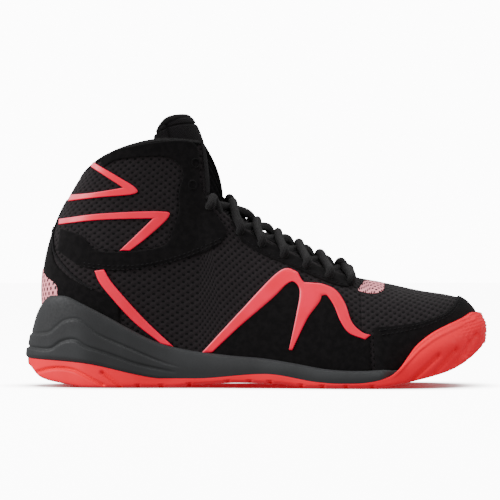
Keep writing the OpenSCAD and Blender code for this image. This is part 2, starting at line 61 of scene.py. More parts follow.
# All shapes are worked out in millimetres, as in the part's source, and turned into metres last.
MM = 0.001
LATERAL = -1
MEDIAL = 1


# ---------------------------------------------------------------- camera, light and floor

def add_camera():
    """A long lens, almost level and square to the shoe's outer side."""
    length = cad_high[0] - cad_low[0]
    view_width = 1.08932 * length
    distance = 2.2
    elevation = math.radians(0.4)
    data = bpy.data.cameras.new("camera")
    data.sensor_width = 36
    data.lens = data.sensor_width * distance / view_width
    data.clip_end = 50
    camera = bpy.data.objects.new("camera", data)
    bpy.context.scene.collection.objects.link(camera)
    middle = (cad_low[1] + cad_high[1]) / 2
    aim = Vector((cad_low[0] + 0.484 * length, middle, 0.29409 * length))
    camera.location = aim + distance * Vector((0, -math.cos(elevation), math.sin(elevation)))
    camera.rotation_euler = (math.radians(90) - elevation, 0, 0)
    bpy.context.scene.camera = camera


def add_light(name, place, aim, size, power):
    data = bpy.data.lights.new(name, "AREA")
    data.shape = "RECTANGLE"
    data.size = size[0]
    data.size_y = size[1]
    data.energy = power
    light = bpy.data.objects.new(name, data)
    light.location = place
    light.rotation_euler = (Vector(aim) - Vector(place)).to_track_quat("-Z", "Y").to_euler()
    bpy.context.scene.collection.objects.link(light)


def light_world():
    """A pale room: bright behind the shoe, softer as a light on it."""
    world = bpy.data.worlds.new("studio")
    world.use_nodes = True
    tree = world.node_tree
    seen = tree.nodes.new("ShaderNodeLightPath")
    strength = tree.nodes.new("ShaderNodeMapRange")
    on_shoe = 0.58
    behind_shoe = 12
    strength.inputs["To Min"].default_value = on_shoe
    strength.inputs["To Max"].default_value = behind_shoe
    tree.links.new(seen.outputs["Is Camera Ray"], strength.inputs["Value"])
    background = tree.nodes["Background"]
    background.inputs["Color"].default_value = (1, 1, 1, 1)
    tree.links.new(strength.outputs[0], background.inputs["Strength"])
    bpy.context.scene.world = world


def floor_material():
    """A glowing white floor whose glow is cut by a painted contact shadow close under the shoe."""
    mat = bpy.data.materials.new("floor_white")
    mat.use_nodes = True
    tree = mat.node_tree
    shader = tree.nodes["Principled BSDF"]
    shader.inputs["Base Color"].default_value = (0.8, 0.8, 0.8, 1)
    shader.inputs["Roughness"].default_value = 0.9
    shader.inputs["Emission Color"].default_value = (1, 1, 1, 1)
    # painted shadow: ambient occlusion dims the floor's glow close under the shoe
    shade = tree.nodes.new("ShaderNodeAmbientOcclusion")
    shadow_reach = 0.03
    full_glow = 10
    shade.inputs["Distance"].default_value = shadow_reach
    glow = tree.nodes.new("ShaderNodeMapRange")
    glow.inputs["From Min"].default_value = 0.35
    glow.inputs["To Max"].default_value = full_glow
    tree.links.new(shade.outputs["AO"], glow.inputs["Value"])
    tree.links.new(glow.outputs[0], shader.inputs["Emission Strength"])
    return mat


# Each softbox: where it stands, where it points, its width and height in metres, its watts.
SOFTBOXES = {
    "softbox_heel": ((-1.3, -0.55, 0.75), (-0.08, 0, 0.07), (0.9, 0.9), 36),
    "softbox_top": ((0.1, 0.1, 1.4), (0, 0, 0.05), (1.2, 0.8), 12),
    "softbox_toe": ((1.2, -0.5, 0.8), (0.08, 0, 0.05), (0.7, 0.7), 7),
}


def add_studio():
    light_world()
    for name, settings in SOFTBOXES.items():
        add_light(name, *settings)
    bpy.ops.mesh.primitive_plane_add(size=8)
    floor = bpy.context.object
    floor.name = "floor"
    floor.location.z = -0.0004
    floor.visible_diffuse = False
    floor.visible_glossy = False
    floor.data.materials.append(floor_material())


# ---------------------------------------------------------------- shape of the last and upper

INNER_LINE = np.array([
    [-131, 0, 21], [-125.5, 17, 21], [-110, 27.5, 20.5], [-86, 29.5, 19.5], [-55, 27.5, 18],
    [-20, 27, 15.5], [18, 32.5, 11.6], [55, 41, 8.6], [88, 43.5, 9.6], [117, 37.5, 15.5],
    [134, 23, 22], [140, 3, 26.5]], float)
OUTER_Y = np.array([0, -17, -28, -31, -30.5, -32.5, -38, -44.5, -44, -35.5, -18, 3], float)
HALF = len(INNER_LINE) - 1
OUTER_LINE = np.column_stack([INNER_LINE[:, 0], OUTER_Y, INNER_LINE[:, 2]])
FEATHER = np.vstack([INNER_LINE, OUTER_LINE[HALF - 1:0:-1]])

# Stations along the top edge, as shares of the way from heel to toe.
FLAP_TOP = 0.41
FLAP_FOOT = 0.455
THROAT_END = 0.668
COLLAR_BACK = -112
FLAP_X = -35
THROAT_X = 66
FLAP_LEAD = 11
FLAP_FOOT_Z = 122
FLAP_Y = 18.6
COLLAR_Z = [136, 140.5, 148.2, 155, 159, 157.5]
THROAT_Y = [21.5, 18, 16.5, 15, 11.5, 0]
THROAT_Z = [122, 105.5, 94, 84.5, 75.5, 69.3]
RIDGE = [[66, 69.3], [85, 65.6], [105, 61.2], [122, 58.6], [133, 55.5], [139.5, 49.5]]

MESH = 1.5
SUEDE = 0.8
FILM = 0.5
FOAM = 5.5
LINING = 1.6
# Lifts above the mesh's face: the suede's, the film's over suede, and that of a strip's underside.
OVER_MESH = 0.15
OVER_SUEDE = OVER_MESH + SUEDE + 0.1
STRIP_ROOT = 0.05
# A chevron lies on bare mesh, so its face is this much lower than a strut's over suede.
CHEVRON_DROP = 0.45


def mix(a, b, t):
    return a * (1 - t) + b * t


def ease(x, low, high):
    t = np.clip((np.asarray(x, float) - low) / (high - low), 0, 1)
    return t * t * (3 - 2 * t)


def catmull(a, b, c, d, t):
    return (b + (c - a) * t / 2 + (2 * a - 5 * b + 4 * c - d) * t * t / 2
            + (3 * b - a - 3 * c + d) * t ** 3 / 2)


def column(t, points):
    return t[..., None] if points.ndim > 1 else t


def on_loop(points, u):
    n = len(points)
    i = np.floor(u).astype(int)
    t = column(u - i, points)
    return catmull(points[(i - 1) % n], points[i % n], points[(i + 1) % n], points[(i + 2) % n], t)


def on_line(points, share):
    """A smooth curve through the points; share runs from 0 to 1."""
    p = np.asarray(points, float)
    p = np.concatenate([[2 * p[0] - p[1]], p, [2 * p[-1] - p[-2]]])
    last = len(points) - 1
    u = np.clip(np.asarray(share, float), 0, 1) * last
    i = np.minimum(np.floor(u).astype(int), last - 1)
    return catmull(p[i], p[i + 1], p[i + 2], p[i + 3], column(u - i, p))


def slope(a, b, c):
    """Slope of a profile at b, level where it turns or runs flat."""
    turns = (b[..., 1] - a[..., 1]) * (c[..., 1] - b[..., 1]) <= 0
    return np.where(turns, 0, (c[..., 1] - a[..., 1]) / (c[..., 0] - a[..., 0]))


def height(line, x):
    """Smooth height of a side profile at x."""
    p = np.asarray(line, float)
    x = np.asarray(x, float)
    i = np.clip(np.searchsorted(p[:, 0], x, side="left") - 1, 0, len(p) - 2)
    b = p[i]
    c = p[i + 1]
    a = np.where(i[..., None] > 0, p[np.maximum(i - 1, 0)], 2 * b - c)
    d = np.where(i[..., None] < len(p) - 2, p[np.minimum(i + 2, len(p) - 1)], 2 * c - b)
    span = c[..., 0] - b[..., 0]
    t = np.clip((x - b[..., 0]) / span, 0, 1)
    slope_b = slope(a, b, c) * span
    slope_c = slope(b, c, d) * span
    return (b[..., 1] * (2 * t ** 3 - 3 * t ** 2 + 1) + slope_b * (t ** 3 - 2 * t ** 2 + t)
            + c[..., 1] * (3 * t ** 2 - 2 * t ** 3) + slope_c * (t ** 3 - t ** 2))


def feather_at(a):
    return on_loop(FEATHER, HALF * np.where(a < 0, a + 2, a))


def top_at(a):
    s = np.abs(a)
    side = np.where(a < 0, LATERAL, MEDIAL)
    lead = np.where(a > 0, FLAP_LEAD, 0)
    f = np.clip(s / FLAP_TOP, 0, 1)
    g = np.clip((s - FLAP_TOP) / (FLAP_FOOT - FLAP_TOP), 0, 1)
    h = np.clip((s - FLAP_FOOT) / (THROAT_END - FLAP_FOOT), 0, 1)
    k = np.clip((s - THROAT_END) / (1 - THROAT_END), 0, 1)
    ridge = on_line(RIDGE, k)
    zones = [s <= FLAP_TOP, s <= FLAP_FOOT, s <= THROAT_END]
    x = np.select(zones, [
        COLLAR_BACK + (FLAP_X - COLLAR_BACK) * (1 - np.cos(np.pi / 2 * f)),
        FLAP_X + 2 * g + lead * (1 - (1 - g) ** 2),
        mix(FLAP_X + 2 + lead, THROAT_X, h)], ridge[..., 0])
    y = np.select(zones, [
        side * 31 * np.sin(np.radians(143.2) * f),
        side * mix(FLAP_Y, THROAT_Y[0], g),
        h + side * on_line(THROAT_Y, h)], mix(1, 3, k))
    z = np.select(zones, [
        on_line(COLLAR_Z, f),
        mix(COLLAR_Z[-1], FLAP_FOOT_Z, g),
        on_line(THROAT_Z, h)], ridge[..., 1])
    return np.stack([x, y, z], -1)


def surface(a, t):
    """The upper's outer surface: a from -1 (toe) by the outer side, 0 (heel) to 1, t from 0 to 1."""
    a, t = np.broadcast_arrays(np.asarray(a, float), np.asarray(t, float))
    s = np.abs(a)
    b = feather_at(a)
    top = top_at(a)
    v = np.sin(np.pi / 2 * np.clip(t, 0, 1))
    power = 1 + 1.3 * ease(s, 0.4, 0.62)
    arch = np.maximum(1 - v ** power, 0) ** (1 / power)
    heel = 1 - ease(s, 0, 0.42)
    toe = ease(s, 0.8, 1)
    belly = 2.2 * np.sin(2 * np.pi * v) * ease(0.42 - s, 0, 0.3) * b[..., 1] / 30
    return np.stack([
        mix(b[..., 0], top[..., 0], v) + (14 * toe - 60 * heel) * v * (1 - v),
        top[..., 1] + (b[..., 1] - top[..., 1]) * arch + belly,
        mix(b[..., 2], top[..., 2], v)], -1)


def wrap(a):
    return np.where(a > 1, a - 2, np.where(a < -1, a + 2, a))


def unit(v):
    return v / np.maximum(np.linalg.norm(v, axis=-1, keepdims=True), 1e-9)


def normal(a, t):
    a, t = np.broadcast_arrays(np.asarray(a, float), np.asarray(t, float))
    d = 0.008
    below = np.minimum(t, 0.97)
    up = surface(a, np.minimum(t + d, 1)) - surface(a, np.maximum(t - d, 0))
    along = surface(wrap(a + d), below) - surface(wrap(a - d), below)
    return unit(np.cross(up, along))


def lifted(a, t, lift):
    lift = np.asarray(lift, float)
    return surface(a, t) + normal(a, t) * (lift[..., None] if lift.ndim else lift)


def share_at(a, z):
    b = feather_at(a)[..., 2]
    top = top_at(a)[..., 2]
    return np.arcsin(np.clip((z - b) / (top - b), 0, 1)) / (np.pi / 2)


def find(side, x, z):
    """(a, t) of the points on one side that the side view shows at x, z."""
    x, z = np.broadcast_arrays(np.asarray(x, float), np.asarray(z, float))
    low = np.zeros(x.shape)
    high = np.ones(x.shape)
    for _ in range(20):
        s = (low + high) / 2
        ahead = surface(side * s, share_at(side * s, z))[..., 0] < x
        low = np.where(ahead, s, low)
        high = np.where(ahead, high, s)
    return side * low, share_at(side * low, z)


def place(side, x, z):
    """(a, t) of a point drawn in the side view, moved with the inner side's leading flap."""
    if side == MEDIAL:
        f = np.clip((COLLAR_Z[-1] - z) / (COLLAR_Z[-1] - FLAP_FOOT_Z), 0, 1)
        share = np.where(x < FLAP_X, ease(x, FLAP_X - 40, FLAP_X),
                         np.maximum(THROAT_X - x, 0) / (THROAT_X - FLAP_X))
        x = x + FLAP_LEAD * share * (1 - (1 - f) ** 2)
    return find(side, x, z)


# ---------------------------------------------------------------- mesh building

def add_object(mesh, material, body, replaced=()):
    """A smooth object of the same name as its mesh, handed to the frame."""
    obj = bpy.data.objects.new(mesh.name, mesh)
    bpy.context.scene.collection.objects.link(obj)
    for polygon in mesh.polygons:
        polygon.use_smooth = True
    mesh.materials.append(material)
    if body:
        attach(obj, body)
    if replaced:
        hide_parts(*replaced)
    return obj


def build_mesh(name, points, faces, uv):
    """A mesh from points in millimetres; uv gives one pair of millimetre coordinates a point."""
    mesh = bpy.data.meshes.new(name)
    mesh.from_pydata((np.reshape(points, (-1, 3)) * MM).tolist(), [], faces)
    layer = mesh.uv_layers.new(name="weave")
    loops = np.empty(len(mesh.loops), int)
    mesh.loops.foreach_get("vertex_index", loops)
    layer.data.foreach_set("uv", (np.reshape(uv, (-1, 2)) * MM)[loops].astype(np.float32).ravel())
    mesh.validate()
    mesh.update()
    return mesh


def grid_faces(rows, cols, start=0, flip=False, wrap_cols=False):
    faces = []
    last = cols if wrap_cols else cols - 1
    for i in range(rows - 1):
        for j in range(last):
            a = start + i * cols + j
            b = start + i * cols + (j + 1) % cols
            quad = (a, a + cols, b + cols, b)
            faces.append(quad[::-1] if flip else quad)
    return faces


def facing(a, t, grid):
    """True if the grid's faces, as grid_faces winds them, point away from the foot."""
    way = np.cross(grid[1, 0] - grid[0, 0], grid[0, 1] - grid[0, 0])
    return float(np.dot(way, normal(a[0, 0], t[0, 0]))) > 0


def arc_uv(points):
    """Millimetre coordinates along a grid's rows and columns, so a weave keeps its size."""
    along = np.linalg.norm(np.diff(points, axis=0), axis=2).mean(1)
    across = np.linalg.norm(np.diff(points, axis=1), axis=2)
    u = np.concatenate([[0], np.cumsum(along)])
    v = np.concatenate([np.zeros((len(points), 1)), np.cumsum(across, axis=1)], axis=1)
    return np.stack([np.broadcast_to(u[:, None], v.shape), v], -1)


def side_uv(points):
    """Side-view coordinates with y added in, so a pattern doesn't smear where the side turns away."""
    return np.stack([points[..., 0] + 0.6 * np.abs(points[..., 1]), points[..., 2] * 1.02], -1)


def grid_mesh(name, grid):
    """An open sheet over one grid of points."""
    return build_mesh(name, grid, grid_faces(*grid.shape[:2]), arc_uv(grid))


def path_reach(points):
    """How far along a path each of its points stands."""
    return np.concatenate([[0], np.cumsum(np.linalg.norm(np.diff(points, axis=0), axis=1))])


def ring_points(centre, across, rise, radius, turn):
    """A ring of points round each centre, in the plane of across and rise."""
    return centre[..., None, :] + radius * (across[..., None, :] * np.cos(turn)[:, None]
                                            + rise[..., None, :] * np.sin(turn)[:, None])


def sheet_mesh(name, outer, inner, uv, flip):
    """A closed sheet between two grids of points."""
    rows, cols = outer.shape[:2]
    n = rows * cols
    points = np.concatenate([outer.reshape(-1, 3), inner.reshape(-1, 3)])
    faces = grid_faces(rows, cols, 0, flip) + grid_faces(rows, cols, n, not flip)
    rim = [i * cols for i in range(rows)]
    rim += [(rows - 1) * cols + j for j in range(1, cols)]
    rim += [i * cols + cols - 1 for i in range(rows - 2, -1, -1)]
    rim += [j for j in range(cols - 2, 0, -1)]
    for k, a in enumerate(rim):
        b = rim[(k + 1) % len(rim)]
        quad = (a, n + a, n + b, b)
        faces.append(quad[::-1] if flip else quad)
    uvs = np.concatenate([uv.reshape(-1, 2)] * 2)
    return build_mesh(name, points, faces, uvs)


def bevelled(count, edge):
    """Shares from 0 to 1 in even steps, with extra ones close to both ends for a rounded edge."""
    inner = np.linspace(edge, 1 - edge, count)
    return np.concatenate([[0, edge * 0.35], inner, [1 - edge * 0.35, 1]])


def edge_profile(rows, cols, keep=0.45):
    """How full a sheet is: 1 in the middle, falling to keep at its rim."""
    def one(n):
        p = np.ones(n)
        p[[0, -1]] = keep
        p[[1, -2]] = 0.5 + keep / 2
        p[[2, -3]] = 0.97
        return p
    return np.minimum(one(rows)[:, None], one(cols)[None, :])


def layer_piece(name, a, t, lift, thick, material, node, uv=None, rounded=True):
    """One layer of the upper over a grid of (a, t), from lift to lift + thick."""
    full = edge_profile(*a.shape) if rounded else 1.0
    outer = lifted(a, t, lift + thick * full + np.zeros(a.shape))
    inner = lifted(a, t, lift + np.zeros(a.shape))
    uvs = side_uv(outer) if uv is None else uv
    mesh = sheet_mesh(name, outer, inner, uvs, not facing(a, t, outer))
    add_object(mesh, material, "shoe", [node])


def edge_grid(side, edge_a, edge_b, along, across, edge_mm=0.7):
    """(a, t) over the area between two edges drawn in the side view as [x, z]."""
    width = np.linalg.norm(np.asarray(edge_a[len(edge_a) // 2]) - np.asarray(edge_b[len(edge_b) // 2]))
    length = sum(math.dist(p, q) for p, q in zip(edge_a, edge_a[1:]))
    i = bevelled(along, edge_mm / length)
    j = bevelled(across, min(edge_mm / width, 0.2))
    p = on_line(edge_a, i)[:, None, :]
    q = on_line(edge_b, i)[:, None, :]
    m = mix(p, q, j[None, :, None])
    return place(side, m[..., 0], m[..., 1])


def side_name(side):
    return "_lateral" if side == LATERAL else "_medial"


# ---------------------------------------------------------------- materials

class Graph:
    """A short way to write a material's nodes."""

    def __init__(self, name, roughness, **sockets):
        self.mat = bpy.data.materials.new(name)
        self.mat.use_nodes = True
        self.tree = self.mat.node_tree
        self.shader = self.tree.nodes["Principled BSDF"]
        self.shader.inputs["Roughness"].default_value = roughness
        for key, value in sockets.items():
            self.shader.inputs[key.replace("_", " ")].default_value = value

    def add(self, kind, settings=None, **inputs):
        node = self.tree.nodes.new("ShaderNode" + kind)
        for key, value in (settings or {}).items():
            setattr(node, key, value)
        for key, value in inputs.items():
            socket = node.inputs[int(key[1:])] if key[0] == "i" and key[1:].isdigit() else \
                node.inputs[key.replace("_", " ")]
            if isinstance(value, bpy.types.NodeSocket):
                self.tree.links.new(value, socket)
            else:
                socket.default_value = value
        return node

    def math(self, operation, a, b=0.0):
        return self.add("Math", {"operation": operation}, i0=a, i1=b).outputs[0]

    def weave(self):
        """Millimetres across and up the piece, from its weave map."""
        uv = self.add("UVMap", {"uv_map": "weave"}).outputs[0]
        scaled = self.add("VectorMath", {"operation": "SCALE"}, i0=uv, Scale=1000.0).outputs[0]
        return self.add("SeparateXYZ", i0=scaled)

    def wave(self, value, pitch_mm):
        return self.math("SINE", self.math("MULTIPLY", value, 2 * math.pi / pitch_mm))

    def noise(self, size_mm, detail=2.0, rough=0.5):
        place = self.add("TexCoord").outputs["Object"]
        return self.add("TexNoise", i0=place, Scale=1000.0 / size_mm, Detail=detail,
                        Roughness=rough).outputs["Fac"]

    def ramp(self, value, low, high, to_low=0.0, to_high=1.0):
        return self.add("MapRange", {"interpolation_type": "SMOOTHSTEP"}, i0=value, i1=low, i2=high,
                        i3=to_low, i4=to_high).outputs[0]

    def blend(self, factor, colour_a, colour_b):
        node = self.add("Mix", {"data_type": "RGBA"})
        for socket, value in zip((node.inputs[0], node.inputs[6], node.inputs[7]),
                                 (factor, colour_a, colour_b)):
            if isinstance(value, bpy.types.NodeSocket):
                self.tree.links.new(value, socket)
            else:
                socket.default_value = value if isinstance(value, float) else (*value, 1)
        return node.outputs[2]

    def colour(self, socket):
        self.tree.links.new(socket, self.shader.inputs["Base Color"])

    def roughness(self, socket):
        self.tree.links.new(socket, self.shader.inputs["Roughness"])

    def bump(self, value, depth_mm, strength=1.0):
        normal_in = self.shader.inputs["Normal"]
        node = self.add("Bump", i0=strength, i1=depth_mm * MM)
        self.tree.links.new(value, node.inputs["Height"])
        if normal_in.links:
            self.tree.links.new(normal_in.links[0].from_socket, node.inputs["Normal"])
        self.tree.links.new(node.outputs[0], normal_in)


def air_mesh_material():
    """Knitted air mesh: staggered holes in a matt black knit, painted near-black for the black lining
    seen through them and painted shade inside them, with a painted highlight on the fine knit's crests.
    """
    g = Graph("air_mesh", 0.9, Sheen_Weight=0.04, Sheen_Roughness=0.5, Specular_IOR_Level=0.15)
    weave = g.weave()
    lattice = g.math("MULTIPLY", g.wave(weave.outputs[0], 5.8), g.wave(weave.outputs[1], 4.4))
    hole = g.ramp(lattice, 0.30, 0.62)
    ridge = g.ramp(lattice, -1.0, 0.3, 1.0, 0.55)
    knit = g.math("MULTIPLY", g.wave(weave.outputs[0], 0.7), g.wave(weave.outputs[1], 0.55))
    blotch = g.noise(9.0)
    thread = g.blend(g.ramp(blotch, 0.3, 0.7), (0.0085, 0.0065, 0.0072), (0.012, 0.0095, 0.0105))
    # painted highlight: the fine knit's crests are blended lighter than the thread
    knit_painted_highlight = g.blend(g.ramp(knit, -0.6, 0.9), thread, (0.018, 0.014, 0.0155))
    # the holes' near-black is partly the black lining behind them and partly painted shade inside them
    g.colour(g.blend(hole, knit_painted_highlight, (0.0012, 0.001, 0.001)))
    g.bump(g.math("SUBTRACT", ridge, hole), 0.55)
    g.bump(knit, 0.10, 0.6)
    return g.mat


def suede_material():
    g = Graph("suede", 0.95, Sheen_Weight=0.03, Sheen_Roughness=0.6, Specular_IOR_Level=0.1)
    nap = g.noise(3.5, 4.0, 0.6)
    fine = g.noise(0.5, 3.0, 0.7)
    g.colour(g.blend(g.ramp(nap, 0.35, 0.68), (0.0016, 0.0012, 0.0014), (0.0045, 0.0037, 0.004)))
    g.bump(fine, 0.16, 0.7)
    g.bump(nap, 0.25, 0.35)
    return g.mat


def film_material():
    """Bonded crimson film, with a painted highlight: paler pink where it turns up and back towards the
    light.
    """
    g = Graph("film", 0.32, Specular_IOR_Level=0.25, Coat_Weight=0.08, Coat_Roughness=0.2)
    shade = g.noise(14.0, 2.0)
    crimson = g.blend(g.ramp(shade, 0.3, 0.7), (0.93, 0.001, 0.038), (1.0, 0.003, 0.052))
    # painted highlight: the film is blended to pale pink where its normal faces up and back towards the
    # key light
    facing_up = g.add("VectorMath", {"operation": "DOT_PRODUCT"},
                      i0=g.add("NewGeometry").outputs["Normal"], i1=(-0.75, 0.0, 0.66))
    pale = g.ramp(facing_up.outputs["Value"], 0.35, 0.95, 0.0, 0.85)
    g.colour(g.blend(pale, crimson, (1.0, 0.2, 0.26)))
    g.roughness(g.ramp(g.noise(1.2, 3.0), 0.3, 0.7, 0.28, 0.4))
    g.bump(g.noise(0.9, 3.0), 0.04, 0.5)
    return g.mat


def dotted_material():
    """Pale pink film with staggered rows of black dots."""
    g = Graph("dotted_film", 0.4, Specular_IOR_Level=0.2)
    weave = g.weave()
    rows = g.math("MULTIPLY", g.wave(weave.outputs[0], 4.6), g.wave(weave.outputs[1], 4.0))
    dot = g.ramp(rows, 0.2, 0.4)
    g.colour(g.blend(dot, (0.95, 0.33, 0.37), (0.012, 0.003, 0.004)))
    g.bump(dot, 0.15, -0.6)
    return g.mat


def rubber_material():
    g = Graph("sole_rubber", 0.55, Specular_IOR_Level=0.15)
    shade = g.noise(22.0, 3.0)
    g.colour(g.blend(g.ramp(shade, 0.3, 0.7), (0.9, 0.004, 0.022), (0.98, 0.008, 0.03)))
    g.roughness(g.ramp(g.noise(2.5, 4.0), 0.3, 0.7, 0.42, 0.6))
    g.bump(g.noise(0.35, 3.0), 0.05, 0.5)
    return g.mat


def midsole_material():
    g = Graph("midsole_foam", 0.65, Specular_IOR_Level=0.2)
    shade = g.noise(30.0, 3.0)
    g.colour(g.blend(g.ramp(shade, 0.3, 0.7), (0.023, 0.0235, 0.0245), (0.031, 0.032, 0.0335)))
    g.roughness(g.ramp(g.noise(1.6, 4.0), 0.3, 0.7, 0.5, 0.72))
    g.bump(g.noise(0.45, 4.0, 0.7), 0.07, 0.6)
    return g.mat


def textile_material(name, low, high, pitch, depth):
    """A plain woven or knitted textile with the given thread pitch in millimetres."""
    g = Graph(name, 0.92, Sheen_Weight=0.04, Sheen_Roughness=0.5, Specular_IOR_Level=0.12)
    weave = g.weave()
    knit = g.math("MULTIPLY", g.wave(weave.outputs[0], pitch), g.wave(weave.outputs[1], pitch))
    g.colour(g.blend(g.ramp(knit, -0.5, 0.8), low, high))
    g.bump(knit, depth)
    g.bump(g.noise(2.0, 3.0), 0.12, 0.5)
    return g.mat


def braid_material():
    """Round braided lace: diamonds along and around the cord."""
    g = Graph("lace_cord", 0.75, Sheen_Weight=0.05, Sheen_Roughness=0.4, Specular_IOR_Level=0.2)
    weave = g.weave()
    left = g.wave(g.math("ADD", weave.outputs[0], weave.outputs[1]), 1.5)
    right = g.wave(g.math("SUBTRACT", weave.outputs[0], weave.outputs[1]), 1.5)
    braid = g.math("MAXIMUM", left, right)
    g.colour(g.blend(g.ramp(braid, -0.3, 0.9), (0.0012, 0.001, 0.0011), (0.0065, 0.0055, 0.006)))
    g.bump(braid, 0.25, 0.8)
    return g.mat


MATS = {
    "mesh": air_mesh_material(),
    "suede": suede_material(),
    "film": film_material(),
    "dots": dotted_material(),
    "rubber": rubber_material(),
    "midsole": midsole_material(),
    "lining": textile_material("lining", (0.005, 0.0045, 0.005), (0.014, 0.013, 0.014), 0.9, 0.12),
    "tongue": textile_material("tongue_fabric", (0.004, 0.0035, 0.004), (0.013, 0.011, 0.012),
                               1.3, 0.22),
    "insole": textile_material("insole_fabric", (0.014, 0.014, 0.015), (0.035, 0.035, 0.037),
                               0.8, 0.08),
    "lace": braid_material(),
    "thread": textile_material("thread", (0.004, 0.0035, 0.004), (0.012, 0.011, 0.012), 0.4, 0.05),
    "board": textile_material("board", (0.05, 0.046, 0.04), (0.09, 0.083, 0.072), 0.7, 0.05),
}


# ---------------------------------------------------------------- sole

GROUND = [[-146, 12.2], [-139, 5.8], [-125, 2.3], [-106, 0], [-55, 0], [-38, 1.6], [-12, 3], [14, 2.4],
          [36, 0], [76, 0], [96, 3.7], [112, 7.5], [126, 12.3], [137, 18.8], [147, 27]]
SOLE_EDGE = [[-148, 17.8], [-118, 16], [-104, 14.3], [-76, 8], [-61, 5.8], [-40, 5.8], [5, 8.8], [37, 4],
             [53, 3], [69, 3.6], [83, 6.9], [89, 11.2], [96, 18.8], [105, 27.4], [116, 34.4],
             [128, 39.7], [138, 43.8], [144, 47]]
CUP_EDGE = [[-139.5, 45], [-135, 53], [-129.5, 57.6], [-120, 57.2], [-111, 53], [-97, 45.9], [-69, 31.2],
            [-54, 25.6], [-26, 20.2], [0, 18.1], [22, 14.9], [41, 11.6], [61, 10.4], [76, 10.9],
            [92, 12.5]]
OUTSOLE_FLOOR = 2.2
OUTSOLE_WALL = 2.6
CUP_WALL = 2.6
CUP_GAP = 2.5
TOE_GAP = 1.7
AROUND = 720
RING = wrap(2 * np.arange(AROUND) / AROUND)


def sole_out(a):
    s = np.abs(a)
    heel = np.where(s < 0.16, np.cos(np.pi / 2 * np.clip(s / 0.16, 0, 1)) ** 2, 0)
    return 6 + 11 * heel + 2.5 * ease(s, 0.8, 1)


def plan_at(a, out):
    d = 0.01
    way = feather_at(wrap(a + d)) - feather_at(wrap(a - d))
    side = unit(np.stack([-way[..., 1], way[..., 0]], -1))
    return feather_at(a)[..., :2] + side * np.asarray(out + 0 * a)[..., None]


def sole_point(a, inset):
    return plan_at(a, sole_out(a) - inset)


def ground(x):
    return height(GROUND, x)


def sole_edge(x):
    return np.maximum(height(SOLE_EDGE, x), ground(x) + OUTSOLE_FLOOR + 0.5)


def in_cup(x):
    return 1 - ease(x, 78, 85)


def with_z(plan, z):
    return np.concatenate([plan, np.asarray(z)[..., None]], -1)


def cup_point(a, lift):
    x = surface(a, 0.25)[..., 0]
    rim = mix(feather_at(a)[..., 2] + 1.2, height(CUP_EDGE, x), in_cup(x))
    return lifted(a, share_at(a, rim), lift)


def through(rings, shares):
    """Smooth surface through rings of points."""
    p = np.asarray(rings)
    p = np.concatenate([[2 * p[0] - p[1]], p, [2 * p[-1] - p[-2]]])
    u = np.asarray(shares) * (len(rings) - 1)
    i = np.minimum(np.floor(u).astype(int), len(rings) - 2)
    return catmull(p[i], p[i + 1], p[i + 2], p[i + 3], (u - i)[:, None, None])


def line_distance(points, line):
    """Distance in the side view from each point to a line of [x, z] points."""
    p = points[..., [0, 2]]
    best = np.full(p.shape[:-1], 1e9)
    for start, end in zip(np.array(line[:-1], float), np.array(line[1:], float)):
        way = end - start
        t = np.clip(((p - start) @ way) / (way @ way), 0, 1)
        best = np.minimum(best, np.linalg.norm(p - (start + t[..., None] * way), axis=-1))
    return best


def fine_line(line, count=24):
    return on_line(line, np.linspace(0, 1, count)).tolist()


def groove(points, line, width, depth):
    return -depth * np.exp(-(line_distance(points, line) / width) ** 2)


def flat(grid, middle):
    """The rise of a cap that isn't shaped."""
    return 0 * grid[..., 2]


def across_cap(ring, rise, count):
    """A grid over the inside of a ring: strips from its outer half to its inner half."""
    half = AROUND // 2
    inner = ring[:half + 1]
    outer = ring[(AROUND - np.arange(half + 1)) % AROUND]
    w = np.linspace(0, 1, count)[None, :, None]
    grid = mix(outer[:, None, :], inner[:, None, :], w)
    grid[..., 2] += rise(grid, np.sin(np.pi * w[..., 0]))
    return grid


def welded(mesh):
    """Joins points that lie together and turns every face outward."""
    work = bmesh.new()
    work.from_mesh(mesh)
    bmesh.ops.remove_doubles(work, verts=work.verts, dist=0.02 * MM)
    bmesh.ops.recalc_face_normals(work, faces=work.faces)
    work.to_mesh(mesh)
    work.free()
    return mesh


def joined(name, parts):
    """One mesh from several grids: (points, flip, closed round)."""
    points, faces, uvs = [], [], []
    start = 0
    for grid, flip, closed in parts:
        rows, cols = grid.shape[:2]
        faces += grid_faces(rows, cols, start, flip, closed)
        points.append(grid.reshape(-1, 3))
        uvs.append(side_uv(grid).reshape(-1, 2))
        start += rows * cols
    return welded(build_mesh(name, np.concatenate(points), faces, np.concatenate(uvs)))


# The heel's moulded waves, which run on forward as two long lines.
UPPER_WAVE = [[-146, 33.6], [-139, 33.8], [-132, 34.9], [-127, 39], [-121.7, 42.6], [-113.5, 43.3],
              [-106, 37.8], [-100, 33.2], [-85, 26.7], [-63, 17.2], [-48, 12.4]]
LOWER_WAVE = [[-148, 25.2], [-139, 24.2], [-131, 24.3], [-123.6, 29], [-115.5, 30.2], [-109, 26.2],
              [-101, 23.6], [-88, 19.2], [-76, 15], [-53, 9.8]]


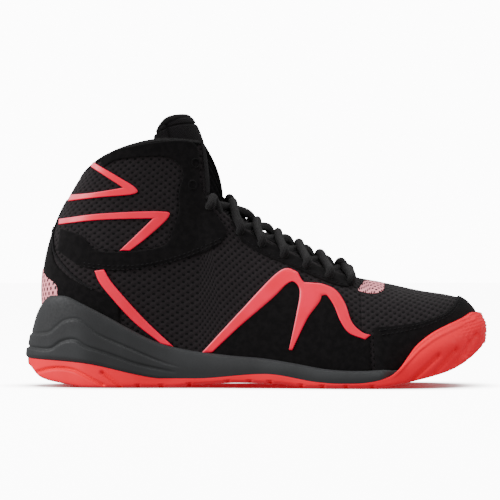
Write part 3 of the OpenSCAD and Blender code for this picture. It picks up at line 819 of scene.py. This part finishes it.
def waves(points):
    """How far the midsole's side stands out at each point."""
    x = points[..., 0]
    z = points[..., 2]
    near = 1 - ease(x, -66, -46)
    heel = 1 - ease(x, -112, -92)
    upper = line_distance(points, fine_line(UPPER_WAVE, 40))
    lower = line_distance(points, fine_line(LOWER_WAVE, 40))
    under_upper = z < height(UPPER_WAVE, np.clip(x, -146, -48))
    under_lower = z < height(LOWER_WAVE, np.clip(x, -148, -53))
    below_upper = ease(np.where(under_upper, upper, -upper), -0.7, 1.3)
    below_lower = ease(np.where(under_lower, lower, -lower), -0.5, 1.1)
    return (near * (0.9 * below_upper + 0.8 * heel * below_lower)
            - near * 1.1 * np.exp(-(lower / 0.85) ** 2)
            - near * 0.9 * (1 - 0.3 * heel) * np.exp(-(upper / 0.65) ** 2))


def outward_plan(a):
    return np.concatenate([plan_at(a, 1.0) - plan_at(a, 0.0), np.zeros(a.shape + (1,))], -1)


def make_midsole():
    a = RING
    tray = OUTSOLE_WALL + 1
    x = sole_point(a, 0)[..., 0]
    side_foot = sole_point(a, tray * (1 - in_cup(x)))
    floor = ground(side_foot[..., 0]) + OUTSOLE_FLOOR
    foot = with_z(side_foot, mix(floor + 0.9, sole_edge(side_foot[..., 0]) + 0.05, in_cup(x)))
    rim = cup_point(a, CUP_GAP + CUP_WALL * in_cup(feather_at(a)[..., 0]) - 0.5)
    rows = np.linspace(0, 1, 56)
    wall = mix(foot[None], rim[None], rows[:, None, None])
    out = outward_plan(a)[None]
    bulge = np.sin(np.pi * rows)[:, None] * 0.9 * in_cup(wall[..., 0])
    wave = waves(wall) * in_cup(wall[..., 0]) * np.sin(np.pi * np.clip(rows * 6, 0, 0.5))[:, None]
    roll = -1.1 * np.exp(-((1 - rows) / 0.035))[:, None] * in_cup(wall[..., 0])
    wall = wall + out * (bulge + wave + roll)[..., None]
    lip = cup_point(a, 1.2)
    lip[..., 2] += 0.1
    inner = with_z(plan_at(a, 1.6), feather_at(a)[..., 2] - 0.3)
    lip_rows = through([wall[-1], mix(wall[-1], lip, 0.5) + [0, 0, 0.55], lip], np.linspace(0, 1, 7))
    low = sole_point(a, tray)
    step = ground(low[..., 0]) + OUTSOLE_FLOOR + 0.6
    hidden = with_z(low, mix(step, sole_edge(low[..., 0]), in_cup(x)))
    base = with_z(sole_point(a, tray + 0.6), ground(low[..., 0]) + OUTSOLE_FLOOR + 0.15)
    mesh = joined("midsole_moulded", [
        (np.stack([base, hidden, foot]), True, True), (wall, True, True), (lip_rows, True, True),
        (np.stack([lip, inner]), True, True), (across_cap(base, flat, 8), False, False),
        (across_cap(inner, flat, 8), True, False)])
    add_object(mesh, MATS["midsole"], "shoe", ["midsole"])


HEEL_ARC = [[-141, 9.2], [-134, 11.3], [-126, 12], [-116.5, 10.7], [-108, 6.6], [-98, 1.6]]
SIDE_GROOVES = [[[-98.3, 9.4], [-86.6, 0]], [[115, 20.5], [97, 4.2]], [[126.5, 24], [111.9, 8.8]],
                [[136.5, 29], [126.9, 14.6]], [[140.5, 33], [133.5, 20.5]]]
NOTCHES = [-76, -61, -43, -19, -5, 8, 28, 41, 56, 72.6]


def outsole_relief(points):
    x = points[..., 0]
    z = points[..., 2]
    depth = groove(points, fine_line(HEEL_ARC), 0.85, 2.0)
    for line in SIDE_GROOVES:
        depth = depth + groove(points, line, 1.15, 1.8)
    for notch in NOTCHES:
        near = 1 - ease(np.abs(x - notch), 0.7, 1.5)
        depth = depth - 1.8 * near * (1 - ease(z - ground(x), 1.8, 2.6))
    rim = 0.55 * ease(x, 84, 94) * (1 - ease(np.abs(z - sole_edge(x) + 1.2), 0.7, 1.4))
    tip = ease(x, 128, 134) * -0.6 * np.clip(np.sin(2 * np.pi * (z - 0.25 * x) / 2.1), 0, 1)
    return depth + rim + tip


def tread(grid, middle):
    """Herringbone grooves under the forefoot and heel, and a smooth arch between."""
    x = grid[..., 0]
    y = grid[..., 1]
    zigzag = np.abs((y / 14) % 1 - 0.5) * 2
    wave = ((x + 7 * zigzag) / 6.2) % 1
    cut = ease(np.abs(wave - 0.5), 0.24, 0.34)
    rim = ease(middle * 45, 3, 6)
    channel = np.exp(-((np.abs(y - 2) - 15) / 1.0) ** 2)
    return (1.25 * (1 - cut) + 0.9 * channel) * rim


def make_outsole():
    a = RING
    edge = sole_point(a, 0)
    x = edge[..., 0]
    top = sole_edge(x)
    wrap_share = ease(x, 86, 104)[:, None]
    outer_wrap = lifted(a, share_at(a, top), TOE_GAP + OUTSOLE_WALL)
    inner_wrap = lifted(a, share_at(a, top), 0.6)
    high = mix(with_z(edge, top), with_z(outer_wrap[..., :2], top), wrap_share)
    inner_edge = sole_point(a, OUTSOLE_WALL)
    inner_top = sole_edge(inner_edge[..., 0])
    inside = mix(with_z(inner_edge, inner_top), with_z(inner_wrap[..., :2], top), wrap_share)
    foot = with_z(sole_point(a, 2.5), ground(sole_point(a, 2.5)[..., 0]))
    knee = with_z(sole_point(a, 0.4), ground(sole_point(a, 0.4)[..., 0]) + 1.6)
    middle = with_z(edge, mix(ground(x) + 1.6, top, 0.6))
    wall = through([foot, knee, middle, high], np.linspace(0, 1, 46))
    fade = np.sin(np.pi * np.clip(np.linspace(0, 8, 46), 0, 0.5))[:, None]
    wall = wall + outward_plan(a)[None] * (outsole_relief(wall) * fade)[..., None]
    wall[..., 2] = np.maximum(wall[..., 2], 0)
    lip = through([wall[-1], mix(wall[-1], inside, 0.5) + [0, 0, 0.25], inside], np.linspace(0, 1, 6))
    deep = sole_point(a, OUTSOLE_WALL + 0.6)
    floor = with_z(deep, ground(deep[..., 0]) + OUTSOLE_FLOOR)
    mesh = joined("outsole_tread", [
        (wall, True, True), (lip, True, True), (np.stack([inside, floor]), True, True),
        (across_cap(wall[0], tread, 90), False, False), (across_cap(floor, flat, 6), True, False)])
    add_object(mesh, MATS["rubber"], "shoe", ["outsole"])


def make_insole():
    a = RING
    thick = 4
    steps = [(5, 1.15), (3.7, 1.8), (3.6, thick + 0.2), (4.2, thick + 0.95), (6, thick + 1.0)]
    rings = [with_z(plan_at(a, -MESH - step), feather_at(a)[..., 2] + rise) for step, rise in steps]
    wall = through(rings, np.linspace(0, 1, 20))
    dish = lambda grid, middle: -1.6 * ease(middle, 0, 0.5)
    mesh = joined("insole_board", [(wall, True, True), (across_cap(wall[-1], dish, 24), True, False),
                                   (across_cap(wall[0], flat, 6), False, False)])
    add_object(mesh, MATS["insole"], "insole_lift", ["insole"])


# ---------------------------------------------------------------- upper

def quarter_grid(side, columns, rows):
    s = np.concatenate([np.linspace(0, FLAP_TOP, columns)[:-1],
                        np.linspace(FLAP_TOP, FLAP_FOOT, 9)[:-1],
                        np.linspace(FLAP_FOOT, THROAT_END, columns)])
    t = np.linspace(0, 1, rows)
    return np.broadcast_arrays(side * s[:, None], t[None, :])


def make_quarters():
    for side in (LATERAL, MEDIAL):
        a, t = quarter_grid(side, 46, 40)
        name = "quarter" + side_name(side)
        layer_piece(name + "_mesh", a, t, -MESH, MESH, MATS["mesh"], name,
                    arc_uv(surface(a, t)), rounded=False)


def toe_grid(start, low, columns, rows):
    """Columns over the toe from the outer side, across the ridge, to the inner side."""
    t = np.linspace(low, 1, rows)
    s = np.linspace(start, 0.988, columns)
    t_row = np.concatenate([t, t[-2::-1]])
    sign = np.concatenate([-np.ones(rows), np.ones(rows - 1)])
    a, t = np.broadcast_arrays(s[:, None] * sign[None, :], t_row[None, :])
    return a, t


def make_vamp():
    a, t = toe_grid(THROAT_END, 0, 36, 30)
    layer_piece("vamp_mesh", a, t, -MESH, MESH, MATS["mesh"], "vamp",
                arc_uv(surface(a, t)), rounded=False)


CAP_SEAM = [[0.69, 0.33], [0.742, 0.357], [0.791, 0.4], [0.853, 0.514], [0.9, 0.78], [0.91, 1]]


def cap_columns(count):
    """How far round the toe each column stands, and on which side."""
    c = np.linspace(0, 1, count)
    side = np.concatenate([np.full(count, MEDIAL), np.full(count - 1, LATERAL)])
    return np.concatenate([c, c[-2::-1]]), side


def make_toe_cap():
    """The toe cap's columns climb the toe, then turn back along it to the seam."""
    c, side = cap_columns(34)
    seam = on_line(CAP_SEAM, c)
    s = mix(CAP_SEAM[0][0], 1, c ** 0.8)[:, None]
    bend = mix(1, 0.6, np.minimum(4 * c, 1))[:, None]
    r = bevelled(36, 0.015)[None, :]
    turned = np.clip((r - bend) / np.maximum(1 - bend, 0.001), 0, 1)
    a = side[:, None] * np.where(r < bend, s, mix(s, seam[:, :1], turned))
    t = np.where(r < bend, mix(0.02, seam[:, 1:], r / bend), seam[:, 1:])
    layer_piece("toe_cap_suede", a, t, OVER_MESH, SUEDE, MATS["suede"], "toe_cap")


OVERLAYS = {
    "mudguard": (
        [[-30, 17], [-8, 15], [15, 13], [38, 10.5], [56, 10], [72, 11.5]],
        [[-30, 22], [-10, 42], [8, 59], [23, 67.5], [36, 61.5], [45, 59.5], [52, 48], [60, 38],
         [71.5, 34]], 70, 30),
    "ankle_overlay": (
        [[-100, 144.5], [-88, 151.5], [-62, 156.5], [-42, 156.5], [-37, 146], [-36, 128],
         [-27, 111], [-19.5, 99], [-28, 88.5], [-50, 81], [-82, 75], [-102, 75], [-114, 78],
         [-127.5, 87]],
        [[-98, 140.5], [-87, 145.5], [-60, 147], [-50, 142], [-47.5, 135], [-50, 124],
         [-50, 112], [-54, 100], [-58, 91], [-72, 87.3], [-92, 86], [-104, 88], [-112, 96.5],
         [-126, 101]], 150, 16),
    "eyestay": (
        [[-17, 106], [0, 95.5], [20, 85.5], [40, 76.5], [52, 72], [59, 69.8]],
        [[-10, 92.5], [4, 84], [20, 77.5], [38, 69.5], [50, 65], [58.5, 63.4]], 60, 12),
}
STRIPS = {
    "chevron_upper": (
        [[-104.5, 143.5], [-90, 135], [-77.5, 127], [-79, 123], [-100, 121], [-121, 118.5]],
        [[-106, 140.5], [-96, 134], [-86, 127.5], [-86, 127], [-104, 124], [-119.5, 122.5]], 80),
    "chevron_lower": (
        [[-127, 107], [-100, 110.5], [-62, 112], [-56.5, 108.5], [-70, 95.5], [-81, 87]],
        [[-127, 103.5], [-100, 106.5], [-67, 107.5], [-67, 107], [-76, 98], [-87.5, 87]], 90),
    "heel_strut": (
        [[-97.5, 75], [-91.5, 65.5], [-72, 43.5], [-53, 25.5]],
        [[-103.5, 74], [-98.5, 64], [-79.5, 42.5], [-61, 27.5]], 50),
    "midfoot_strut": (
        [[-35.5, 21.5], [-11.5, 47.5], [13.5, 73.2], [24.5, 73.8], [29.5, 67], [41, 58], [32, 43.5],
         [22.5, 23.8]],
        [[-28.5, 22], [-11.5, 38], [10, 56.5], [18.5, 65], [23.5, 66.8], [27, 61], [25, 46.5],
         [20.3, 23.8]],
        100),
    "toe_strut": (
        [[28.8, 66.8], [36, 66.2], [42, 65.3], [50, 61.5], [55.9, 53], [60.1, 41.5], [66.9, 35],
         [72, 33.5]],
        [[40, 57.5], [43.3, 58.4], [45.3, 57], [49, 51], [53, 41.5], [58.5, 34.5], [68.5, 30.5]], 70),
}


VAMP_PANEL = [[[64.5, 62], [67, 65], [70, 67.5], [76, 67], [82, 65.8]],
              [[65, 61], [69, 60], [73.7, 59.4], [78, 60], [81, 61.5]]]


def make_overlays():
    for side in (LATERAL, MEDIAL):
        for name, (edge_a, edge_b, along, across) in OVERLAYS.items():
            a, t = edge_grid(side, edge_a, edge_b, along, across)
            node = name + side_name(side)
            layer_piece(node + "_suede", a, t, OVER_MESH, SUEDE, MATS["suede"], node)
        for name, (edge_a, edge_b, along) in STRIPS.items():
            a, t = edge_grid(side, edge_a, edge_b, along, 9, 0.5)
            node = name + side_name(side)
            thick = OVER_SUEDE + FILM - (CHEVRON_DROP if "chevron" in name else 0)
            layer_piece(node + "_film", a, t, STRIP_ROOT, thick, MATS["film"], node)
        a, t = edge_grid(side, *VAMP_PANEL, 24, 12)
        node = "vamp_panel" + side_name(side)
        layer_piece(node + "_film", a, t, OVER_MESH, FILM, MATS["dots"], node,
                    arc_uv(surface(a, t)))


def make_heel_overlay():
    edge = 0.27
    rise = [121, 97, 81, 72.5, 66, 61, 57.5]
    a = np.linspace(-edge, edge, 110)[:, None]
    top = share_at(a, on_line(rise, np.abs(a[:, 0]) / edge)[:, None])
    a, t = np.broadcast_arrays(a, mix(0.08, top, bevelled(30, 0.02)[None, :]))
    layer_piece("heel_overlay_suede", a, t, OVER_MESH, SUEDE, MATS["suede"], "heel_overlay")


def make_heel_panel():
    """Dotted film, widest where it leaves the midsole's rim."""
    share = np.linspace(0, 1, 30)[None, :]
    half_width = on_line([0.118, 0.112, 0.07, 0.02], share[0])
    a = np.linspace(-1, 1, 50)[:, None] * half_width
    t = mix(share_at(a, height(CUP_EDGE, surface(a, 0.25)[..., 0])), 0.31, share)
    uv = np.stack([a * 260, t * 120], -1)
    layer_piece("heel_panel_film", a, t, OVER_SUEDE, FILM, MATS["dots"], "heel_panel",
                uv)


# ---------------------------------------------------------------- collar

def foam_at(a, t):
    z = surface(a, t)[..., 2]
    return (FOAM * ease(z, 84, 118) * (1 - 0.45 * ease(t, 0.93, 1))
            * (1 - 0.55 * ease(np.abs(a), 0.34, FLAP_FOOT)))


def collar_shares(count):
    s = np.concatenate([np.linspace(0, 0.39, count), np.linspace(0.395, 0.425, 14),
                        np.linspace(0.43, 0.45, 6)])
    return np.concatenate([-s[::-1], s[1:]])


def smooth_rows(grid, passes):
    """Eases the corner that the flap's front makes in every row."""
    for _ in range(passes):
        grid[1:-1] = (grid[:-2] + 2 * grid[1:-1] + grid[2:]) / 4
    return grid


def lining_depth(a, t):
    """How far below the upper's face the collar's foam ends."""
    return MESH + LINING + foam_at(a, t)


def make_collar_roll():
    """The padded top edge: up the outside, over a half-round and down the inside."""
    s = collar_shares(60)
    radius = lining_depth(s, 0.985) / 2 + 0.15
    out = normal(s, 0.96)
    up = unit(surface(s, 1) - surface(s, 0.95))
    centre = surface(s, 1) - up * radius[:, None] - out * (radius - 0.3)[:, None]
    half_round = np.radians(np.linspace(0, 180, 17))
    arc = ring_points(centre, out, up, radius[:, None, None], half_round)
    outer = lifted(s[:, None], np.linspace(0.90, 0.965, 6)[None], 0.12)
    t = np.linspace(0.955, 0.84, 9)[None]
    inner = lifted(s[:, None], t, -lining_depth(s[:, None], t))
    grid = smooth_rows(np.concatenate([outer, arc, inner], axis=1), 6)
    add_object(grid_mesh("collar_roll", grid), MATS["suede"], "shoe", ["collar_foam"])


def make_lining():
    """The quilted lining below the roll."""
    t = np.concatenate([np.linspace(0.86, 0.5, 24), np.linspace(0.47, 0.04, 14)])
    a, t = np.broadcast_arrays(collar_shares(60)[:, None], t[None, :])
    quilt = 0.5 * np.sin(2 * np.pi * t * 9) ** 2 * ease(t, 0.5, 0.6)
    face = smooth_rows(lifted(a, t, -lining_depth(a, t) - 0.1 - quilt), 3)
    back = smooth_rows(lifted(a, t, 0.7 - lining_depth(a, t)), 3)
    mesh = sheet_mesh("collar_lining_knit", back, face, arc_uv(face), not facing(a, t, back))
    add_object(mesh, MATS["lining"], "shoe", ["collar_lining"])


# ---------------------------------------------------------------- tongue

TONGUE_LINE = [[68, 63], [54, 69], [38, 76], [20, 85], [2, 95], [-14, 104.5], [-24, 112], [-29.5, 121],
               [-31.5, 133], [-33, 146], [-35.5, 158], [-39.5, 168], [-43.5, 174.5]]
TONGUE_DEPTH = [8, 9, 9, 9, 9, 10, 13, 19, 27, 33, 36, 36, 34]
TONGUE_HALF = 20
TONGUE_THICK = 6
# The padded top is narrower than the foot of the tongue, and thins towards its bound end.
TONGUE_NARROWING = 5.6
TIP_THINNING = 1.5
BINDING_SHARE = 0.978
# Half the angle that the tongue wraps round the foot, in degrees.
SWEEP = 80


def tongue_at(u, angle, inset):
    u, angle, inset = np.broadcast_arrays(*(np.asarray(v, float) for v in (u, angle, inset)))
    p = on_line(TONGUE_LINE, u)
    way = unit(on_line(TONGUE_LINE, np.minimum(u + 0.01, 1))
               - on_line(TONGUE_LINE, np.maximum(u - 0.01, 0)))
    across = np.stack([way[..., 1], -way[..., 0]], -1)
    level = ease(u, 0.7, 0.9)[..., None]
    outward = unit(across * (1 - level) + np.array([1.0, 0.0]) * level)
    depth = on_line(TONGUE_DEPTH, u) - inset
    half = ((TONGUE_HALF - inset) * mix(0.85, 1, ease(u, 0, 0.3))
            - TONGUE_NARROWING * ease(u, 0.5, 0.64))
    droop = ease(u, 0.8, 1) * 13 * (np.abs(angle) / SWEEP) ** 4
    turn = np.radians(angle)
    back = inset + depth * (1 - np.cos(turn))
    return np.stack([p[..., 0] - outward[..., 0] * back - way[..., 0] * droop,
                     1.2 * (1 - u) + half * np.sin(turn),
                     p[..., 1] - outward[..., 1] * back - way[..., 1] * droop], -1)


def tongue_relief(u, angle):
    """How far the tongue's face is pressed in: ribs under the top laces, a seam round the pad."""
    ribs = (ease(u, 0.30, 0.34) * (1 - ease(u, 0.565, 0.59)) * (1 - ease(np.abs(angle), 56, 66)))
    pitch = 0.0158
    rib = 0.55 + 0.55 * np.cos(2 * np.pi * u / pitch)
    seam = np.exp(-((u - 0.60) / 0.006) ** 2) + np.exp(-((u - 0.925) / 0.006) ** 2)
    edge_seam = np.exp(-((np.abs(angle) - 62) / 2.2) ** 2) * ease(u, 0.60, 0.61)
    return ribs * rib + 1.2 * np.clip(seam + edge_seam, 0, 1)


def make_tongue():
    u = np.concatenate([np.linspace(0, 0.3, 30)[:-1], np.linspace(0.3, 0.6, 190)[:-1],
                        np.linspace(0.6, 0.985, 90)])
    angle = np.linspace(-SWEEP, SWEEP, 81)
    side = np.clip((np.abs(angle) - 66) / (SWEEP - 66), 0, 1)[None, :]
    end = np.clip((u - 0.965) / 0.02, 0, 1)[:, None]
    toe_end = np.clip((0.02 - u) / 0.02, 0, 1)[:, None]
    round_off = 1 - np.sqrt(np.clip(1 - np.maximum(np.maximum(side, end), toe_end) ** 2, 0, 1))
    pad_swell = 0.9
    lace_swell = 5.4
    swell = -pad_swell * ease(u, 0.6, 0.68)[:, None] * (1 - ease(np.abs(angle), 30, 60))[None, :]
    under_lace = (ease(u, 0.02, 0.1) * (1 - ease(u, 0.5, 0.57)))[:, None]
    swell = swell - lace_swell * under_lace * (1 - ease(np.abs(angle), 35, 62))[None, :]
    face = tongue_at(u[:, None], angle[None, :], 3 * round_off + swell
                     + tongue_relief(u[:, None], angle[None, :]) * (1 - round_off))
    thick = TONGUE_THICK - TIP_THINNING * ease(u, 0.85, 0.97)[:, None]
    back = tongue_at(u[:, None], angle[None, :], thick - (thick / 2) * round_off)
    mesh = welded(sheet_mesh("tongue_padded", face, back, arc_uv(face), False))
    piece = add_object(mesh, MATS["tongue"], None, ["tongue_body", "tongue_flap"])
    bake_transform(piece)
    make_tongue_binding(angle)


def make_tongue_binding(angle):
    """The suede roll over the tongue's top end."""
    middle = (TONGUE_THICK - TIP_THINNING) / 2
    centre = tongue_at(BINDING_SHARE, angle, middle)
    out = unit(tongue_at(BINDING_SHARE, angle, 0) - tongue_at(BINDING_SHARE, angle, 2 * middle))
    up = unit(tongue_at(0.99, angle, middle) - centre)
    radius = (1.3 + 1.3 * (1 - ease(np.abs(angle), 50, SWEEP)))[:, None, None]
    grid = ring_points(centre, out, up, radius, np.radians(np.linspace(-50, 230, 25)))
    mesh = grid_mesh("tongue_binding_roll", grid)
    add_object(mesh, MATS["suede"], "tongue_top", ["tongue_binding"])


# ---------------------------------------------------------------- laces

LACE_RADIUS = 2.8
ROW_SHARES = [0.02, 0.215, 0.355, 0.5, 0.645, 0.79, 0.93]
# How high the two strands pass each other above the throat's edges.
CROSS_OVER = 6.3
CROSS_UNDER = 2.2
# The upper pair of holes, in the ankle flap, as [x, z] in the side view.
FLAP_HOLES = [[-39.5, 142.8], [-41.5, 128.8]]


def tube_mesh(name, path, radius, sides):
    """A round tube along a path, with its own frame carried from ring to ring."""
    path = np.asarray(path, float)
    n = len(path)
    way = unit(np.gradient(path, axis=0))
    across = np.empty_like(path)
    start = np.cross(way[0], [0, 0, 1])
    across[0] = unit(start if np.linalg.norm(start) > 0.2 else np.cross(way[0], [0, 1, 0]))
    for i in range(1, n):
        across[i] = unit(across[i - 1] - way[i] * (across[i - 1] @ way[i]))
    turn = 2 * np.pi * np.arange(sides) / sides
    points = ring_points(path, across, np.cross(way, across), radius, turn)
    faces = grid_faces(n, sides, 0, True, True)
    faces.append(tuple(range(sides)))
    faces.append(tuple((n - 1) * sides + j for j in range(sides - 1, -1, -1)))
    uv = np.stack(np.broadcast_arrays(path_reach(path)[:, None], radius * turn[None]), -1)
    return build_mesh(name, points, faces, uv)


def eyelet_at(side, row):
    a = side * mix(FLAP_FOOT, THROAT_END, ROW_SHARES[row])
    return a, share_at(a, top_at(a)[2] - 4.6)


def at_eyelet(side, row, lift):
    return lifted(*eyelet_at(side, row), lift)


def over_edge(side, row, ahead, lift):
    """A point just past the upper's edge beside a row, towards the next row by ahead."""
    share = ROW_SHARES[row] + ahead
    return top_at(side * mix(FLAP_FOOT, THROAT_END, share)) + [0, -side * 1.5, lift]


def crossing(row, lift):
    """Where two strands cross between a row and the one above it."""
    share = (ROW_SHARES[row] + ROW_SHARES[row - 1]) / 2
    s = mix(FLAP_FOOT, THROAT_END, share)
    low = top_at(-s)
    high = top_at(s)
    return np.array([(low[0] + high[0]) / 2 + 1, 1, (low[2] + high[2]) / 2 + lift])


def strand(side):
    """From an eyelet at the bottom row up to the top one, crossing at each row."""
    path = []
    out_of_hole = 1.0 + LACE_RADIUS * 0.9
    for row in range(len(ROW_SHARES) - 1, 0, -1):
        path += [at_eyelet(side, row, -4.2), at_eyelet(side, row, out_of_hole),
                 over_edge(side, row, -0.02, LACE_RADIUS + 1.2),
                 crossing(row, CROSS_OVER if side == LATERAL else CROSS_UNDER),
                 over_edge(-side, row - 1, 0.035, -1.0)]
        side = -side
    path += [at_eyelet(side, 0, -4.0), at_eyelet(side, 0, out_of_hole),
             over_edge(side, 0, 0.03, LACE_RADIUS + 0.3), over_edge(side, 0, 0.07, -3.4)]
    path += [lifted(side * s, 0.92, -MESH - 2.4) for s in (0.478, 0.495)]
    return path


def make_laces():
    """One cord: down one strand, across the bottom bar and up the other."""
    last = len(ROW_SHARES) - 1
    lift = 1 + LACE_RADIUS
    bar = [at_eyelet(LATERAL, last, lift), over_edge(LATERAL, last, 0, lift),
           crossing(last, 3.0) + [6, 0, -3.2], over_edge(MEDIAL, last, 0, lift),
           at_eyelet(MEDIAL, last, lift)]
    path = np.array(strand(LATERAL)[::-1] + bar + strand(MEDIAL))
    fine = on_line(path, np.linspace(0, 1, 14 * len(path)))
    add_object(tube_mesh("lace_cord", fine, LACE_RADIUS, 14), MATS["lace"], "shoe", ["lace"])
    for side in (LATERAL, MEDIAL):
        tip = [lifted(side * s, 0.92, -MESH - 2.2) for s in np.linspace(0.493, 0.515, 8)]
        mesh = tube_mesh("aglet" + side_name(side), tip, 1.35, 16)
        add_object(mesh, MATS["thread"], "shoe", ["aglets"])


def make_eyelets():
    """Punched holes: a rolled rim round a dark dish."""
    profile = [[3.3, 0.0], [3.05, 0.42], [2.6, 0.5], [2.25, 0.3], [2.1, -0.15], [1.2, -0.35],
               [0.05, -0.4]]
    steps = 22
    sides = 28
    fine = on_line(profile, np.linspace(0, 1, steps))
    turn = 2 * np.pi * np.arange(sides) / sides
    for side in (LATERAL, MEDIAL):
        places = [eyelet_at(side, row) for row in range(len(ROW_SHARES))]
        places += [place(side, x, z) for x, z in FLAP_HOLES]
        for k, (a, t) in enumerate(places):
            out = normal(a, t)
            across = unit(np.cross(out, [0, 0, 1]))
            centre = lifted(a, t, OVER_MESH + SUEDE) + fine[:, 1, None] * out
            ring = ring_points(centre, across, np.cross(out, across), fine[:, 0, None, None], turn)
            mesh = build_mesh("eyelet%s_%d" % (side_name(side), k), ring,
                              grid_faces(steps, sides, 0, True, True), ring[..., [0, 2]])
            add_object(mesh, MATS["suede"], "shoe")


# ---------------------------------------------------------------- seams

def stitch_row(name, points, normals, length=2.1, gap=1.0, radius=0.32):
    """Short raised stitches along a path on the surface."""
    reach = path_reach(points)
    stations = 5
    sides = 6
    turn = 2 * np.pi * np.arange(sides) / sides
    shares = np.linspace(0, 1, stations)
    swell = np.sqrt(np.clip(1 - (2 * shares - 1) ** 2, 0.05, 1))
    rings = []
    faces = []
    for start in np.arange(0.5, reach[-1] - length, length + gap):
        at = start + length * shares
        mid = np.stack([np.interp(at, reach, points[:, k]) for k in range(3)], -1)
        out = unit(np.stack([np.interp(at, reach, normals[:, k]) for k in range(3)], -1))
        mid = mid + out * (radius * (swell - 0.35))[:, None]
        across = np.cross(out, unit(mid[-1] - mid[0]))
        base = len(rings) * stations * sides
        faces += grid_faces(stations, sides, base, False, True)
        faces.append(tuple(base + j for j in range(sides - 1, -1, -1)))
        faces.append(tuple(base + (stations - 1) * sides + j for j in range(sides)))
        rings.append(ring_points(mid, across, out, radius * swell[:, None, None], turn))
    rings = np.array(rings)
    add_object(build_mesh(name, rings, faces, rings[..., [0, 2]]), MATS["thread"], "shoe")


def surface_path(side, line, lift, count=120):
    p = on_line(line, np.linspace(0, 1, count))
    a, t = place(side, p[:, 0], p[:, 1])
    return lifted(a, t, lift), normal(a, t)


ON_SUEDE = OVER_SUEDE - 0.1
# Each seam: its line as [x, z] in the side view, and the lift of what it is sewn on.
SEAMS = {
    "collar_seam_low": ([[-111, 77.2], [-100, 75.6], [-88.6, 74.8], [-68.5, 76.6], [-47, 82.5],
                         [-30, 89.5], [-21, 93.4]], ON_SUEDE),
    "collar_seam_high": ([[-111, 79.2], [-100, 77.8], [-88.6, 77], [-68.5, 78.8], [-47, 84.7],
                          [-30, 91.6], [-22, 95.4]], ON_SUEDE),
    "window_seam": ([[-124, 103.5], [-111.5, 98.2], [-102.5, 89.8], [-92, 87.6], [-72, 88.9],
                     [-60, 91.6], [-55.5, 100], [-51.6, 112], [-51.6, 124], [-49.2, 135],
                     [-51.5, 141]], 0.1),
    "eyestay_seam": ([[-9, 94.6], [4, 86], [20, 79.3], [38, 71.3], [50, 66.6], [57, 65]], ON_SUEDE),
}
PIPING = [[-131, 102], [-130.5, 92], [-128, 83], [-117, 70.5], [-105, 62.5]]


def make_seams():
    for side in (LATERAL, MEDIAL):
        for name, (line, lift) in SEAMS.items():
            stitch_row(name + side_name(side), *surface_path(side, line, lift))
        points, _ = surface_path(side, PIPING, OVER_SUEDE, 60)
        mesh = tube_mesh("back_piping" + side_name(side), points, 0.7, 10)
        add_object(mesh, MATS["thread"], "shoe")
    c, side = cap_columns(60)
    seam = on_line(CAP_SEAM, c)
    for name, ahead in (("cap_seam_near", 1), ("cap_seam_far", 2.3)):
        a = side * np.minimum(seam[:, 0] + 0.006 * ahead, 0.999)
        t = np.minimum(seam[:, 1] - 0.025 * ahead * (1 - c), 0.999)
        stitch_row(name, lifted(a, t, ON_SUEDE), normal(a, t))


def dress_hidden_nodes():
    """The board and stiffeners inside the shoe keep their own shapes."""
    for name in ("strobel_board", "heel_counter", "toe_puff"):
        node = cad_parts[name]
        node.data.materials.clear()
        node.data.materials.append(MATS["board"])


add_camera()
add_studio()
make_outsole()
make_midsole()
make_insole()
make_quarters()
make_vamp()
make_toe_cap()
make_overlays()
make_heel_overlay()
make_heel_panel()
make_collar_roll()
make_lining()
make_tongue()
make_laces()
make_eyelets()
make_seams()
dress_hidden_nodes()
